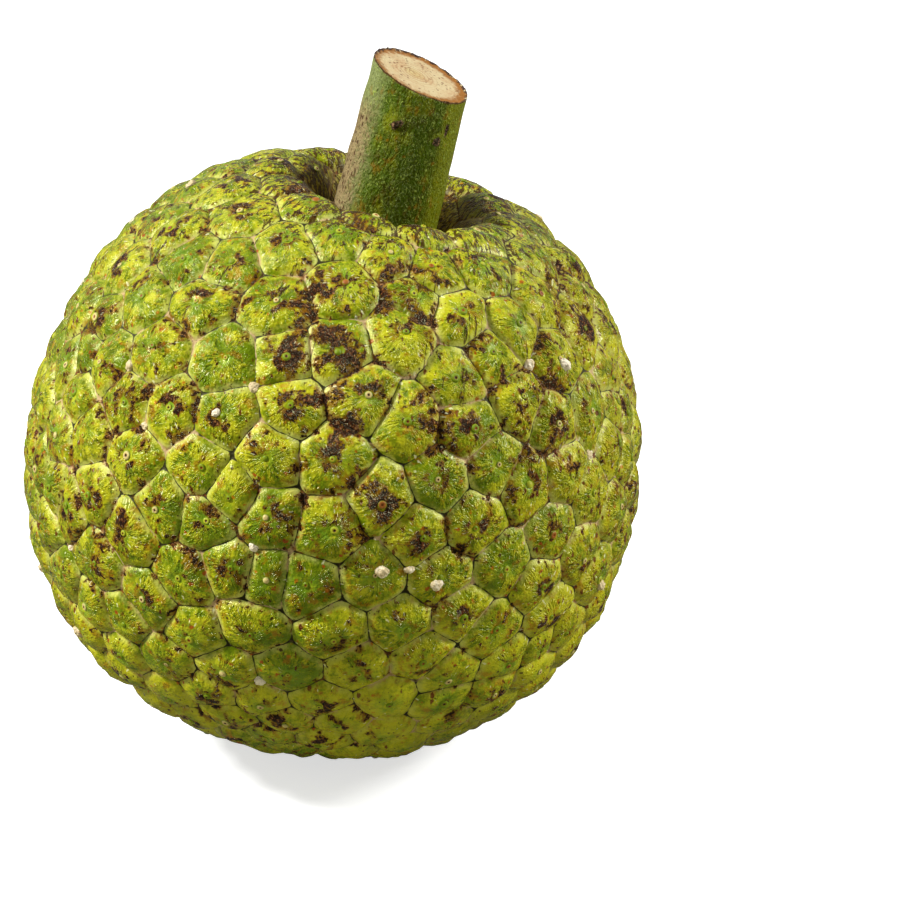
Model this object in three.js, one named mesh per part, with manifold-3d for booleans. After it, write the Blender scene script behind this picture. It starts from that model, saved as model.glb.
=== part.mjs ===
// A whole green breadfruit with its cut stem, standing on the flattened underside of the fruit.
//
// Millimetres, +Z up. The origin is the middle of the flat spot that the fruit stands on.
// The fruit's core leans towards +X, and the stem follows the core out of a pit in the crown.

import * as THREE from "three";
import { ConvexHull } from "three/addons/math/ConvexHull.js";
import { mergeVertices } from "three/addons/utils/BufferGeometryUtils.js";
import Module from "manifold-3d";

const DEGREE = Math.PI / 180;

// ---- Driving dimensions ----

// The fruit's bulk, measured from its middle.
const BODY_RADIUS = 75;
const SHOULDER_FULLNESS = 0.011; // share by which the two shoulders stand out of a sphere
const SHOULDER_ANGLE = 35 * DEGREE; // from the core to the upper shoulder's fullest place
const BASE_FLATTENING = 1.4; // how much the blossom end falls short
const BASE_WIDTH = 30 * DEGREE;
const SIDE_LUMP = 0.5; // height of the slow lumps round the waist
const CORE_LEAN = 13 * DEGREE;
const SPOT_DEPTH = 1.9; // how far the underside is pressed flat

// The pit that the stem comes out of.
const PIT_DEPTH = 21;
const PIT_RADIUS = 17; // where the wall is half way down
const PIT_STEEPNESS = 5;

// The fruitlets, whose faceted tops cover the skin.
const FRUITLETS = 424;
const FRUITLET_GROWTH = 0.12; // how much more room those at the crown have than those at the waist
const FRUITLET_SHAKE = 0.42; // share of a fruitlet's width by which it is off its place
const RELAXING_ROUNDS = 2;
const SMALL_FRUITLET_EVERY = 58; // one gap in so many holds a small fruitlet
const SMALL_FRUITLET_SHIFT = 0.035; // how far it is off the gap's middle, as a share of the fruit's radius
const FRUITLET_LIFT = 0.9; // height of a fruitlet's middle over the grooves round it
const SHOULDER_PLACE = 0.62; // the fruitlet's rounding starts here, as a share of its half width
const SHOULDER_LIFT = 0.86; // share of the lift that is left there

// The stem, measured along the core.
const STEM_FOOT = 47; // where the stem starts, above the fruit's middle
const STEM_TOP = 95.6; // the middle of its cut end
const STEM_TOP_RADIUS = 11.3;
const STEM_BASE_RADIUS = 13.2;
const STEM_FLARE = 1.0; // how much wider the foot is than the base
const STEM_FLARE_HEIGHT = 16;
const STEM_CUT_TILT = 12 * DEGREE; // the cut is this far off square, facing +X
const STEM_CUT_FACING = 8 * DEGREE; // and this far, facing -Y
const STEM_SIDES = 48;
const STEM_RINGS = 10;
const SOCKET_GAP = 0.35; // room between the stem's foot and the fruit

const FRUIT_SKIN = { color: 0x7d8420, roughness: 0.55, metalness: 0 };
const STEM_BARK = { color: 0x545c12, roughness: 0.6, metalness: 0 };

const wasm = await Module();
wasm.setup();

// ---- Solids ----

/** A closed three.js geometry as a manifold-3d solid. */
function solidOf(geometry) {
  const bare = geometry.clone();
  for (const name of Object.keys(bare.attributes)) {
    if (name !== "position") bare.deleteAttribute(name);
  }
  const merged = mergeVertices(bare, 1e-4);
  return new wasm.Manifold(
    new wasm.Mesh({
      numProp: 3,
      vertProperties: merged.attributes.position.array,
      triVerts: new Uint32Array(merged.index.array),
    }),
  );
}

/** A manifold-3d solid as a three.js geometry. */
function geometryOf(solid) {
  const mesh = solid.getMesh();
  const geometry = new THREE.BufferGeometry();
  geometry.setAttribute("position", new THREE.BufferAttribute(mesh.vertProperties, 3));
  geometry.setIndex(new THREE.BufferAttribute(mesh.triVerts, 1));
  geometry.computeVertexNormals();
  return geometry;
}

// ---- The fruit's bulk ----

/** Distance from the middle of the fruit to its skin, at an angle from the core and a turn round it. */
function bulkRadius(fromCore, turn) {
  const shoulders = Math.cos(4 * (fromCore - SHOULDER_ANGLE));
  const fromBase = (Math.PI - fromCore) / BASE_WIDTH;
  const waist = Math.sin(fromCore) ** 2;
  const lumps = Math.sin(2 * turn + 0.7) + Math.sin(3 * turn + 2.1);
  return (
    BODY_RADIUS * (1 + SHOULDER_FULLNESS * shoulders) -
    BASE_FLATTENING * Math.exp(-fromBase * fromBase) +
    SIDE_LUMP * waist * lumps
  );
}

/** The point of the ungrooved skin in a direction from the fruit's middle, with the pit sunk in the crown. */
function skinPoint(direction) {
  const fromCore = Math.acos(THREE.MathUtils.clamp(direction.z, -1, 1));
  const turn = Math.atan2(direction.y, direction.x);
  const reach = bulkRadius(fromCore, turn);
  const offCore = reach * Math.sin(fromCore);
  const sink = direction.z > 0 ? PIT_DEPTH / (1 + (offCore / PIT_RADIUS) ** PIT_STEEPNESS) : 0;
  return direction.clone().multiplyScalar(reach).setZ(reach * direction.z - sink);
}

/** The outward normal of the ungrooved skin in a direction. */
function skinNormal(direction) {
  const step = 0.004;
  const aside = Math.abs(direction.z) > 0.9 ? new THREE.Vector3(1, 0, 0) : new THREE.Vector3(0, 0, 1);
  const across = new THREE.Vector3().crossVectors(aside, direction).normalize();
  const along = new THREE.Vector3().crossVectors(direction, across);
  const slope = (way) =>
    skinPoint(direction.clone().addScaledVector(way, step).normalize()).sub(
      skinPoint(direction.clone().addScaledVector(way, -step).normalize()),
    );
  return slope(across).cross(slope(along)).normalize();
}

/** The skin in a direction, lifted off the groove floor. */
function liftedPoint(direction, lift) {
  return skinPoint(direction).addScaledVector(skinNormal(direction), lift - FRUITLET_LIFT);
}

// ---- The fruitlets ----

/** A number from 0 to 1 that looks random and is the same each time. */
function scatter(index, salt) {
  const value = Math.sin(index * 12.9898 + salt * 78.233) * 43758.5453;
  return value - Math.floor(value);
}

/** Directions on a golden-angle spiral, each shaken a little off its place. */
function spiralCentres() {
  const goldenAngle = Math.PI * (3 - Math.sqrt(5));
  const width = Math.sqrt((4 * Math.PI) / FRUITLETS);
  return Array.from({ length: FRUITLETS }, (_, i) => {
    const even = 1 - (2 * i + 1) / FRUITLETS;
    const height = even + (FRUITLET_GROWTH * (even * even - 1)) / 2;
    const ring = Math.sqrt(1 - height * height);
    const turn = i * goldenAngle;
    const shake = new THREE.Vector3(scatter(i, 1) - 0.5, scatter(i, 2) - 0.5, scatter(i, 3) - 0.5);
    return new THREE.Vector3(ring * Math.cos(turn), ring * Math.sin(turn), height)
      .addScaledVector(shake, 2 * FRUITLET_SHAKE * width)
      .normalize();
  });
}

/** The borders of fruitlets round these centres: the corners, and each fruitlet's own, in order round it. */
function fruitletBorders(centres) {
  const hull = new ConvexHull().setFromPoints(centres);
  const corners = hull.faces.map((face) => face.normal.clone().normalize());
  const found = new Map(centres.map((centre) => [centre, []]));
  hull.faces.forEach((face, index) => {
    let edge = face.edge;
    do {
      found.get(edge.head().point).push(index);
      edge = edge.next;
    } while (edge !== face.edge);
  });
  const rings = centres.map((centre) => {
    const east = new THREE.Vector3(0.31, 0.53, 0.79).cross(centre).normalize();
    const north = centre.clone().cross(east);
    const bearing = (k) => Math.atan2(corners[k].dot(north), corners[k].dot(east));
    return found.get(centre).sort((a, b) => bearing(a) - bearing(b));
  });
  return { corners, rings };
}

/** Fruitlet centres: the spiral's, moved towards the middle of their own room, and the small ones in gaps. */
function fruitletCentres() {
  let centres = spiralCentres();
  for (let round = 0; round < RELAXING_ROUNDS; round++) {
    const { corners, rings } = fruitletBorders(centres);
    centres = rings.map((ring) =>
      ring.reduce((sum, k) => sum.add(corners[k]), new THREE.Vector3()).normalize(),
    );
  }
  const gaps = fruitletBorders(centres).corners.sort((a, b) => a.z - b.z);
  const small = gaps.filter((_, i) => i % SMALL_FRUITLET_EVERY === 0);
  return centres.concat(
    small.map((gap, i) => {
      const aside = new THREE.Vector3(scatter(i, 4) - 0.5, scatter(i, 5) - 0.5, scatter(i, 6) - 0.5);
      return gap.clone().addScaledVector(aside.normalize(), SMALL_FRUITLET_SHIFT).normalize();
    }),
  );
}

/** The fruit's skin as one closed mesh: each fruitlet is a low, blunt pyramid over its own border. */
function fruitGeometry() {
  const centres = fruitletCentres();
  const { corners, rings } = fruitletBorders(centres);
  const points = corners.map((corner) => liftedPoint(corner, 0));
  const faces = [];
  centres.forEach((centre, i) => {
    const ring = rings[i];
    const middle = points.push(liftedPoint(centre, FRUITLET_LIFT)) - 1;
    const shoulder = ring.map((k) => {
      const direction = centre.clone().lerp(corners[k], SHOULDER_PLACE).normalize();
      return points.push(liftedPoint(direction, FRUITLET_LIFT * SHOULDER_LIFT)) - 1;
    });
    ring.forEach((corner, j) => {
      const next = (j + 1) % ring.length;
      faces.push(middle, shoulder[j], shoulder[next]);
      faces.push(shoulder[j], corner, ring[next]);
      faces.push(shoulder[j], ring[next], shoulder[next]);
    });
  });
  const geometry = new THREE.BufferGeometry().setFromPoints(points);
  geometry.setIndex(faces);
  return geometry;
}

// ---- The stem ----

/** The stem's radius at a height above its foot, grown by a gap. */
function stemRadius(height, gap) {
  const share = height / (STEM_TOP - STEM_FOOT);
  const flare = STEM_FLARE * Math.exp(-((height / STEM_FLARE_HEIGHT) ** 2));
  return THREE.MathUtils.lerp(STEM_BASE_RADIUS, STEM_TOP_RADIUS, share) + flare + gap;
}

/** The stem before its end is cut, standing along +Z from below its foot. */
function uncutStem(gap) {
  const length = STEM_TOP - STEM_FOOT + STEM_TOP_RADIUS * Math.tan(STEM_CUT_TILT) + 2;
  const profile = [new THREE.Vector2(0, -gap)];
  for (let i = 0; i <= STEM_RINGS; i++) {
    const height = (length * i) / STEM_RINGS;
    profile.push(new THREE.Vector2(stemRadius(height, gap), i === 0 ? -gap : height));
  }
  profile.push(new THREE.Vector2(0, length));
  const lathe = new THREE.LatheGeometry(profile, STEM_SIDES);
  return lathe.rotateX(Math.PI / 2).translate(0, 0, STEM_FOOT);
}

/** The stem with its top cut off by one slanting stroke. */
function stemGeometry() {
  const size = 6 * STEM_TOP_RADIUS;
  const waste = new THREE.BoxGeometry(size, size, size).translate(0, 0, size / 2);
  waste.rotateX(STEM_CUT_FACING).rotateY(STEM_CUT_TILT).translate(0, 0, STEM_TOP);
  return geometryOf(solidOf(uncutStem(0)).subtract(solidOf(waste)));
}

// ---- Standing the fruit on its flat spot ----

/** The lowest point of the leaning skin, which the flat spot is centred under. */
function lowestPoint(lean) {
  const down = new THREE.Vector3(0, 0, -1).applyEuler(new THREE.Euler(0, -CORE_LEAN, 0));
  let lowest = new THREE.Vector3();
  for (let offset = -6; offset <= 6; offset += 0.25) {
    const direction = down.clone().applyEuler(new THREE.Euler(0, offset * DEGREE, 0));
    const point = skinPoint(direction).applyMatrix4(lean);
    if (point.z < lowest.z) lowest = point;
  }
  return lowest;
}

const leaning = new THREE.Matrix4().makeRotationY(CORE_LEAN);
const foot = lowestPoint(leaning);
const standing = new THREE.Matrix4()
  .makeTranslation(-foot.x, 0, -foot.z - SPOT_DEPTH)
  .multiply(leaning);

/** The fruit where it stands, with the stem's socket in its pit and its underside cut flat. */
function standingFruit() {
  const socketed = solidOf(fruitGeometry()).subtract(solidOf(uncutStem(SOCKET_GAP)));
  const leaned = solidOf(geometryOf(socketed).applyMatrix4(standing));
  const size = 2 * BODY_RADIUS;
  const ground = new THREE.BoxGeometry(size, size, size).translate(0, 0, -size / 2);
  return geometryOf(leaned.subtract(solidOf(ground)));
}

const fruit = new THREE.Mesh(standingFruit(), new THREE.MeshStandardMaterial(FRUIT_SKIN));
fruit.name = "fruit";

const stem = new THREE.Mesh(stemGeometry(), new THREE.MeshStandardMaterial(STEM_BARK));
stem.name = "stem";
stem.applyMatrix4(standing);

const breadfruit = new THREE.Group();
breadfruit.add(fruit, stem);

export default breadfruit;
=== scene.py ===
"""Looks of a whole breadfruit: a skin of fruitlets with their tips, dried latex drops and the cut stem.

Metres, +Z up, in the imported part's own frame: the origin is the middle of the flat spot that the
fruit stands on, and the core leans towards +X.
"""

import functools
import logging
import math
from dataclasses import dataclass, field
from enum import Enum

import bmesh
import bpy
import numpy as np
from mathutils import Matrix, Vector, noise
from mathutils.bvhtree import BVHTree

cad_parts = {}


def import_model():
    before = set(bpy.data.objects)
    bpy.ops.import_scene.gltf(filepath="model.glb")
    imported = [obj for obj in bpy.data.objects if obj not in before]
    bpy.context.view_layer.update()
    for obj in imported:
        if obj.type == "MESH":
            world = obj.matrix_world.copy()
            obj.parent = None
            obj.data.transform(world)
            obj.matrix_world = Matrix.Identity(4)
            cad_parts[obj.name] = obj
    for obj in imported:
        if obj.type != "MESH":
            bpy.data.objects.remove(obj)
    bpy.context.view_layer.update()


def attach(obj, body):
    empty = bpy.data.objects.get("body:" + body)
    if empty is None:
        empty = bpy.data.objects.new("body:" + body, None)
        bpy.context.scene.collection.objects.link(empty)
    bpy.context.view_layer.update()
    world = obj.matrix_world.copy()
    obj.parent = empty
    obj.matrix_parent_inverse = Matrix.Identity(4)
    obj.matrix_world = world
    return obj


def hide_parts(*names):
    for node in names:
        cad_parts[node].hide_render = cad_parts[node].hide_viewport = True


LOG = logging.getLogger("breadfruit")
MM = 0.001
BODY = "root"
GOLDEN_ANGLE = math.pi * (3 - math.sqrt(5))
OFF_EVERY_CENTRE = (0.31, 0.53, 0.79)

SHAKE_SEEDS = (1, 2, 3)
GAP_SEEDS = (4, 5, 6)
TIP_PLACE_SEEDS = (7, 8)
FRUITLET_SEED = 9
LUCK_SEEDS = (11, 12, 13)
TIP_SEEDS = (21, 22, 23)
CORNER_DROP_SEED = 31
TIP_DROP_SEED = 32
TIP_DROP_TURN_SEED = 33
DROP_SEEDS = (34, 35, 36)

Colour = tuple[float, float, float]
Inlets = dict[str, str | float | tuple[float, ...]]
Socket = bpy.types.NodeSocket
Tree = bpy.types.NodeTree


class Slot(Enum):
    """The part's material slots."""

    SKIN = "skin"
    STEM_BARK = "stem_bark"
    LATEX = "latex"


class Place(Enum):
    """Where a drop of latex dried on its fruitlet."""

    CORNER = "corner"
    BESIDE_TIP = "beside_tip"


def paint(red: int, green: int, blue: int) -> Colour:
    """A colour as seen on a screen, from 0 to 255 a channel, as the linear colour that a shader takes."""
    shares = (channel / 255 for channel in (red, green, blue))
    return tuple(s / 12.92 if s <= 0.04045 else ((s + 0.055) / 1.055) ** 2.4 for s in shares)


def scatter(index: np.ndarray | int, salt: int) -> np.ndarray:
    """Numbers from 0 to 1 that look random and are the same each time, one for each index."""
    value = np.sin(np.asarray(index) * 12.9898 + salt * 78.233) * 43758.5453
    return value - np.floor(value)


def scatters(index: np.ndarray, salts: tuple[int, ...]) -> np.ndarray:
    """A row of such numbers for each index, with one column for each salt."""
    return np.stack([scatter(index, salt) for salt in salts], axis=1)


def unit(vectors: np.ndarray) -> np.ndarray:
    """The same vectors at length 1."""
    return vectors / np.linalg.norm(vectors, axis=-1, keepdims=True)


# ---- Nodes ----


class Signal:
    """A number that nodes work out. Arithmetic on it adds further nodes to the same tree."""

    def __init__(self, bench: "Bench", socket: Socket) -> None:
        """Keeps the socket that the number comes out of and the bench that it is on."""
        self.bench = bench
        self.socket = socket

    def __add__(self, other: "Signal | float") -> "Signal":
        """This plus another."""
        return self.bench.math("ADD", self, other)

    def __sub__(self, other: "Signal | float") -> "Signal":
        """This less another."""
        return self.bench.math("SUBTRACT", self, other)

    def __rsub__(self, other: float) -> "Signal":
        """A plain number less this."""
        return self.bench.math("SUBTRACT", other, self)

    def __mul__(self, other: "Signal | float") -> "Signal":
        """This times another."""
        return self.bench.math("MULTIPLY", self, other)

    def __truediv__(self, other: "Signal | float") -> "Signal":
        """This over another."""
        return self.bench.math("DIVIDE", self, other)

    def __pow__(self, other: "Signal | float") -> "Signal":
        """This to a power."""
        return self.bench.math("POWER", self, other)

    __radd__ = __add__
    __rmul__ = __mul__

    def at_least(self, low: "Signal | float") -> "Signal":
        """This or the other, whichever is more."""
        return self.bench.math("MAXIMUM", self, low)

    def at_most(self, high: "Signal | float") -> "Signal":
        """This or the other, whichever is less."""
        return self.bench.math("MINIMUM", self, high)

    def rise(self, start: "Signal | float", end: "Signal | float") -> "Signal":
        """Goes from 0 to 1 as this goes from start to end, with a smooth way between.

        Args:
            start: Where the way begins. It may be the larger.
            end: Where it ends.

        Returns:
            The share of the way that is covered.
        """
        made = self.bench.node(
            "ShaderNodeMapRange",
            {"Value": self, "From Min": start, "From Max": end},
            interpolation_type="SMOOTHSTEP",
        )
        return Signal(self.bench, made.outputs["Result"])


class Bench:
    """Makes and wires the nodes of one shader, group or geometry tree."""

    def __init__(self, tree: Tree) -> None:
        """Starts work on a tree."""
        self.tree = tree

    def feed(self, socket: Socket, value: object) -> None:
        """Gives an input a link or a fixed value.

        Args:
            socket: The input.
            value: A Signal or a socket to link, or a number, a colour or a vector to set.
        """
        if isinstance(value, Signal):
            value = value.socket
        if isinstance(value, Socket):
            self.tree.links.new(value, socket)
            return
        if socket.type == "RGBA" and len(value) == 3:
            value = (*value, 1.0)
        socket.default_value = value

    def node(
        self, kind: str, inputs: dict[object, object] | None = None, **settings: object
    ) -> bpy.types.Node:
        """Makes a node.

        Args:
            kind: Its type.
            inputs: What its inputs get, by name or number.
            **settings: Its own settings.

        Returns:
            The node.
        """
        made = self.tree.nodes.new(kind)
        for name, value in settings.items():
            setattr(made, name, value)
        for name, value in (inputs or {}).items():
            self.feed(made.inputs[name], value)
        return made

    def math(self, operation: str, first: Signal | float, second: Signal | float = 0.0) -> Signal:
        """One step of arithmetic."""
        made = self.node("ShaderNodeMath", {0: first, 1: second}, operation=operation)
        return Signal(self, made.outputs[0])

    def vector(self, operation: str, inputs: dict[object, object], outlet: str = "Vector") -> Socket:
        """One step of vector arithmetic, and the socket it comes out of."""
        return self.node("ShaderNodeVectorMath", inputs, operation=operation).outputs[outlet]

    def scaled(self, vector: object, factor: Signal | float) -> Socket:
        """A vector times a number."""
        return self.vector("SCALE", {0: vector, "Scale": factor})

    def shifted(self, vector: Socket, x: float, y: float, z: float) -> Socket:
        """A place moved aside, so that a pattern there is not like the one here."""
        return self.vector("ADD", {0: vector, 1: (x, y, z)})

    def parts(self, vector: Socket) -> tuple[Signal, Signal, Signal]:
        """A vector's X, Y and Z."""
        made = self.node("ShaderNodeSeparateXYZ", {0: vector})
        return tuple(Signal(self, outlet) for outlet in made.outputs)

    def joined(self, x: Signal | float, y: Signal | float, z: Signal | float) -> Socket:
        """A vector from its X, Y and Z."""
        return self.node("ShaderNodeCombineXYZ", {0: x, 1: y, 2: z}).outputs[0]

    def off_centre(self, x: Signal, y: Signal) -> Signal:
        """How far a flat place is from zero."""
        return self.math("SQRT", x * x + y * y)

    def noise(
        self,
        vector: Socket,
        size: Signal | float,
        detail: float = 2.0,
        roughness: float = 0.5,
        distortion: float = 0.0,
    ) -> Signal:
        """Smooth noise from 0 to 1, mostly near a half.

        Args:
            vector: Where it is read.
            size: How wide its lumps are, in the vector's unit.
            detail: How many finer layers it has.
            roughness: How much the finer layers count.
            distortion: How much it is stirred.

        Returns:
            The noise.
        """
        scale = self.math("DIVIDE", 1.0, size) if isinstance(size, Signal) else 1 / size
        inputs = {
            "Vector": vector,
            "Scale": scale,
            "Detail": detail,
            "Roughness": roughness,
            "Distortion": distortion,
        }
        return Signal(self, self.node("ShaderNodeTexNoise", inputs).outputs[0])

    def blend(self, share: Signal | float, low: object, high: object) -> Socket:
        """A colour that goes from the low one at a share of 0 to the high one at 1."""
        return self.node("ShaderNodeMix", {0: share, 6: low, 7: high}, data_type="RGBA").outputs[2]

    def layered(self, ground: object, *layers: tuple[Signal | float, object]) -> Socket:
        """Lays colours over a ground.

        Args:
            ground: The colour below.
            *layers: Each layer's share and colour, the lowest first.

        Returns:
            The socket of the colour on top.
        """
        for share, colour in layers:
            ground = self.blend(share, ground, colour)
        return ground

    def place(self) -> Socket:
        """A shader's reading of where it is."""
        return self.node("ShaderNodeTexCoord").outputs["Object"]

    def millimetres(self) -> Socket:
        """A shader's reading of where it is, in millimetres."""
        return self.scaled(self.place(), 1 / MM)

    def read(self, name: str) -> Signal:
        """A shader's reading of a number stored on the mesh."""
        return Signal(self, self.node("ShaderNodeAttribute", attribute_name=name).outputs["Fac"])

    def read_parts(self, name: str) -> tuple[Signal, Signal, Signal]:
        """A shader's reading of three numbers stored on the mesh as a vector."""
        return self.parts(self.node("ShaderNodeAttribute", attribute_name=name).outputs["Vector"])

    def named(self, name: str, kind: str = "FLOAT") -> Socket:
        """A geometry tree's reading of what is stored on the mesh."""
        inputs = {"Name": name}
        return self.node("GeometryNodeInputNamedAttribute", inputs, data_type=kind).outputs["Attribute"]

    def named_number(self, name: str) -> Signal:
        """A geometry tree's reading of a number stored on the mesh."""
        return Signal(self, self.named(name))

    def position(self) -> Socket:
        """A geometry tree's reading of where each vertex is."""
        return self.node("GeometryNodeInputPosition").outputs[0]

    def moved(self, geometry: Socket, position: Socket) -> Socket:
        """A geometry tree's vertices, each put at its new position."""
        inputs = {"Geometry": geometry, "Position": position}
        return self.node("GeometryNodeSetPosition", inputs).outputs[0]

    def swollen(self, geometry: Socket, height: Signal) -> Socket:
        """A geometry tree's vertices, each moved outwards.

        Args:
            geometry: The geometry.
            height: How far each vertex is moved.

        Returns:
            The moved geometry.
        """
        offset = self.scaled(self.node("GeometryNodeInputNormal").outputs[0], height)
        inputs = {"Geometry": geometry, "Offset": offset}
        return self.node("GeometryNodeSetPosition", inputs).outputs[0]

    def group(self, tree: Tree, inputs: dict[object, object]) -> Socket:
        """What comes out of a shared group that is placed in this tree with its own values."""
        return self.node("ShaderNodeGroup", inputs, node_tree=tree).outputs[0]


Given = dict[str, Signal | Socket]


def new_group(name: str, kind: str, inlets: Inlets, outlet: tuple[str, str]) -> tuple[Bench, Given]:
    """A new group or geometry tree with named sockets.

    Args:
        name: The tree's name.
        kind: ShaderNodeTree or GeometryNodeTree.
        inlets: Each input's own value, a number or a colour, or else its socket type.
        outlet: The output's name and socket type.

    Returns:
        The bench for the tree, and its inputs by name, where the numbers are Signals.
    """
    tree = bpy.data.node_groups.new(name, kind)
    for label, inlet in inlets.items():
        own_type = "NodeSocketFloat" if isinstance(inlet, float) else "NodeSocketColor"
        socket_type = inlet if isinstance(inlet, str) else own_type
        made = tree.interface.new_socket(label, in_out="INPUT", socket_type=socket_type)
        if not isinstance(inlet, str):
            made.default_value = inlet
    tree.interface.new_socket(outlet[0], in_out="OUTPUT", socket_type=outlet[1])
    bench = Bench(tree)
    given = {}
    for socket in bench.node("NodeGroupInput").outputs:
        given[socket.name] = Signal(bench, socket) if socket.type == "VALUE" else socket
    return bench, given


def close_group(bench: Bench, result: Signal | Socket) -> Tree:
    """Wires a group's result to its output node, and gives the finished tree."""
    bench.node("NodeGroupOutput", {0: result})
    return bench.tree


def freckle_group() -> Tree:
    """The shared effect of small spots that are strewn at random.

    Returns:
        The group. Spacing and Size are in the vector's unit, and Share is how many places have a spot.
    """
    inlets = {
        "Vector": "NodeSocketVector",
        "Spacing": 2.0,
        "Size": 0.4,
        "Share": 0.5,
        "Raggedness": 0.3,
    }
    bench, given = new_group("freckles", "ShaderNodeTree", inlets, ("Mask", "NodeSocketFloat"))
    place, spacing, size = given["Vector"], given["Spacing"], given["Size"]
    scale = bench.math("DIVIDE", 1.0, spacing)
    cells = bench.node("ShaderNodeTexVoronoi", {"Vector": place, "Scale": scale})
    luck, girth, _ = bench.parts(cells.outputs["Color"])
    edge = (bench.noise(place, size, detail=1.0) - 0.5) * given["Raggedness"] * size * 4.0
    distance = Signal(bench, cells.outputs["Distance"]) * spacing + edge
    reach = size * (girth * 0.8 + 0.4)
    present = bench.math("LESS_THAN", luck, given["Share"])
    return close_group(bench, distance.rise(reach, reach * 0.55) * present)


def mottle_group() -> Tree:
    """The shared effect of one colour clouded by another at two scales.

    Returns:
        The group. Size is in the vector's unit, and Balance above a half favours the high colour.
    """
    inlets = {
        "Vector": "NodeSocketVector",
        "Low": (0.1, 0.1, 0.1, 1.0),
        "High": (0.5, 0.5, 0.5, 1.0),
        "Size": 5.0,
        "Balance": 0.5,
        "Softness": 0.2,
    }
    bench, given = new_group("mottle", "ShaderNodeTree", inlets, ("Color", "NodeSocketColor"))
    wide = bench.noise(given["Vector"], given["Size"], detail=3.0, roughness=0.6)
    fine = bench.noise(given["Vector"], given["Size"] * 0.17, detail=2.0, roughness=0.6)
    middle = 1.0 - given["Balance"]
    share = (wide * 0.65 + fine * 0.35).rise(middle - given["Softness"], middle + given["Softness"])
    return close_group(bench, bench.blend(share, given["Low"], given["High"]))


def grain_group() -> Tree:
    """The shared effect of a fine pebbled surface.

    Returns:
        The group, whose Height is from 0 to Depth.
    """
    inlets = {"Vector": "NodeSocketVector", "Size": 0.5, "Depth": 0.05}
    bench, given = new_group("grain", "ShaderNodeTree", inlets, ("Height", "NodeSocketFloat"))
    pebbles = bench.noise(given["Vector"], given["Size"], detail=2.0, roughness=0.55)
    return close_group(bench, pebbles.rise(0.25, 0.75) * given["Depth"])


@dataclass(frozen=True)
class SharedEffects:
    """The node groups that more than one material uses."""

    freckles: Tree = field(default_factory=freckle_group)
    mottle: Tree = field(default_factory=mottle_group)
    grain: Tree = field(default_factory=grain_group)
    raggedness: float = 0.5

    def strewn(
        self,
        bench: Bench,
        place: Socket,
        spacing: float,
        size: float,
        share: Signal | float,
    ) -> Signal:
        """One layer of ragged spots.

        Args:
            bench: The material's bench.
            place: Where it is read, in millimetres.
            spacing: How far the spots are from one another.
            size: A spot's radius.
            share: How many of their places have a spot.

        Returns:
            1 on a spot and 0 off it.
        """
        values = {"Vector": place, "Spacing": spacing, "Size": size, "Share": share}
        return Signal(bench, bench.group(self.freckles, values | {"Raggedness": self.raggedness}))

    def clouded(
        self,
        bench: Bench,
        place: Socket,
        low: Colour,
        high: Colour,
        **values: Signal | float,
    ) -> Socket:
        """One colour clouded by another, with the mottle's own Size, Balance and Softness."""
        return bench.group(self.mottle, {"Vector": place, "Low": low, "High": high, **values})

    def pebbled(self, bench: Bench, place: Socket, size: float, depth: float) -> Signal:
        """The height of a grain whose pebbles are as wide as the size."""
        return Signal(bench, bench.group(self.grain, {"Vector": place, "Size": size, "Depth": depth}))


def bare_nodes(owner: bpy.types.Material | bpy.types.World) -> Bench:
    """Empties the nodes of a new material or world.

    Args:
        owner: The material or world.

    Returns:
        The bench for its nodes.
    """
    owner.use_nodes = True
    owner.node_tree.nodes.clear()
    return Bench(owner.node_tree)


@dataclass(frozen=True)
class Surface:
    """A material while it is made: its bench and its surface shader."""

    material: bpy.types.Material
    bench: Bench
    shader: bpy.types.Node

    @classmethod
    def new(cls, name: str) -> "Surface":
        """Starts a material.

        Args:
            name: The material's name.

        Returns:
            The surface, with an empty shader.
        """
        material = bpy.data.materials.new(name)
        bench = bare_nodes(material)
        shader = bench.node("ShaderNodeBsdfPrincipled")
        bench.node("ShaderNodeOutputMaterial", {"Surface": shader.outputs["BSDF"]})
        return cls(material, bench, shader)

    def finish(
        self,
        colour: Socket,
        roughness: Signal,
        height: Signal,
        shine: float,
        shine_tint: Colour = (1.0, 1.0, 1.0),
    ) -> bpy.types.Material:
        """Feeds the shader.

        Args:
            colour: The colour.
            roughness: The roughness.
            height: The fine relief in millimetres, which bends the shader's normal.
            shine: The strength of the gloss, which is the same all over.
            shine_tint: The colour of the gloss, which is the same all over.

        Returns:
            The finished material.
        """
        bump = self.bench.node("ShaderNodeBump", {"Height": height, "Distance": MM, "Strength": 1.0})
        self.bench.feed(self.shader.inputs["Base Color"], colour)
        self.bench.feed(self.shader.inputs["Roughness"], roughness)
        self.bench.feed(self.shader.inputs["Normal"], bump.outputs["Normal"])
        self.shader.inputs["Specular IOR Level"].default_value = shine
        self.shader.inputs["Specular Tint"].default_value = (*shine_tint, 1.0)
        return self.material


# ---- Meshes ----


def new_piece(name: str, points: np.ndarray, faces: list[tuple[int, ...]]) -> bpy.types.Object:
    """A mesh object at the origin with smooth faces.

    Args:
        name: The piece's name.
        points: Its vertices.
        faces: The vertex numbers of each face, in order seen from outside.

    Returns:
        The object.
    """
    mesh = bpy.data.meshes.new(name)
    mesh.from_pydata(points.tolist(), [], faces)
    mesh.polygons.foreach_set("use_smooth", [True] * len(mesh.polygons))
    made = bpy.data.objects.new(name, mesh)
    bpy.context.scene.collection.objects.link(made)
    return made


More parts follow.
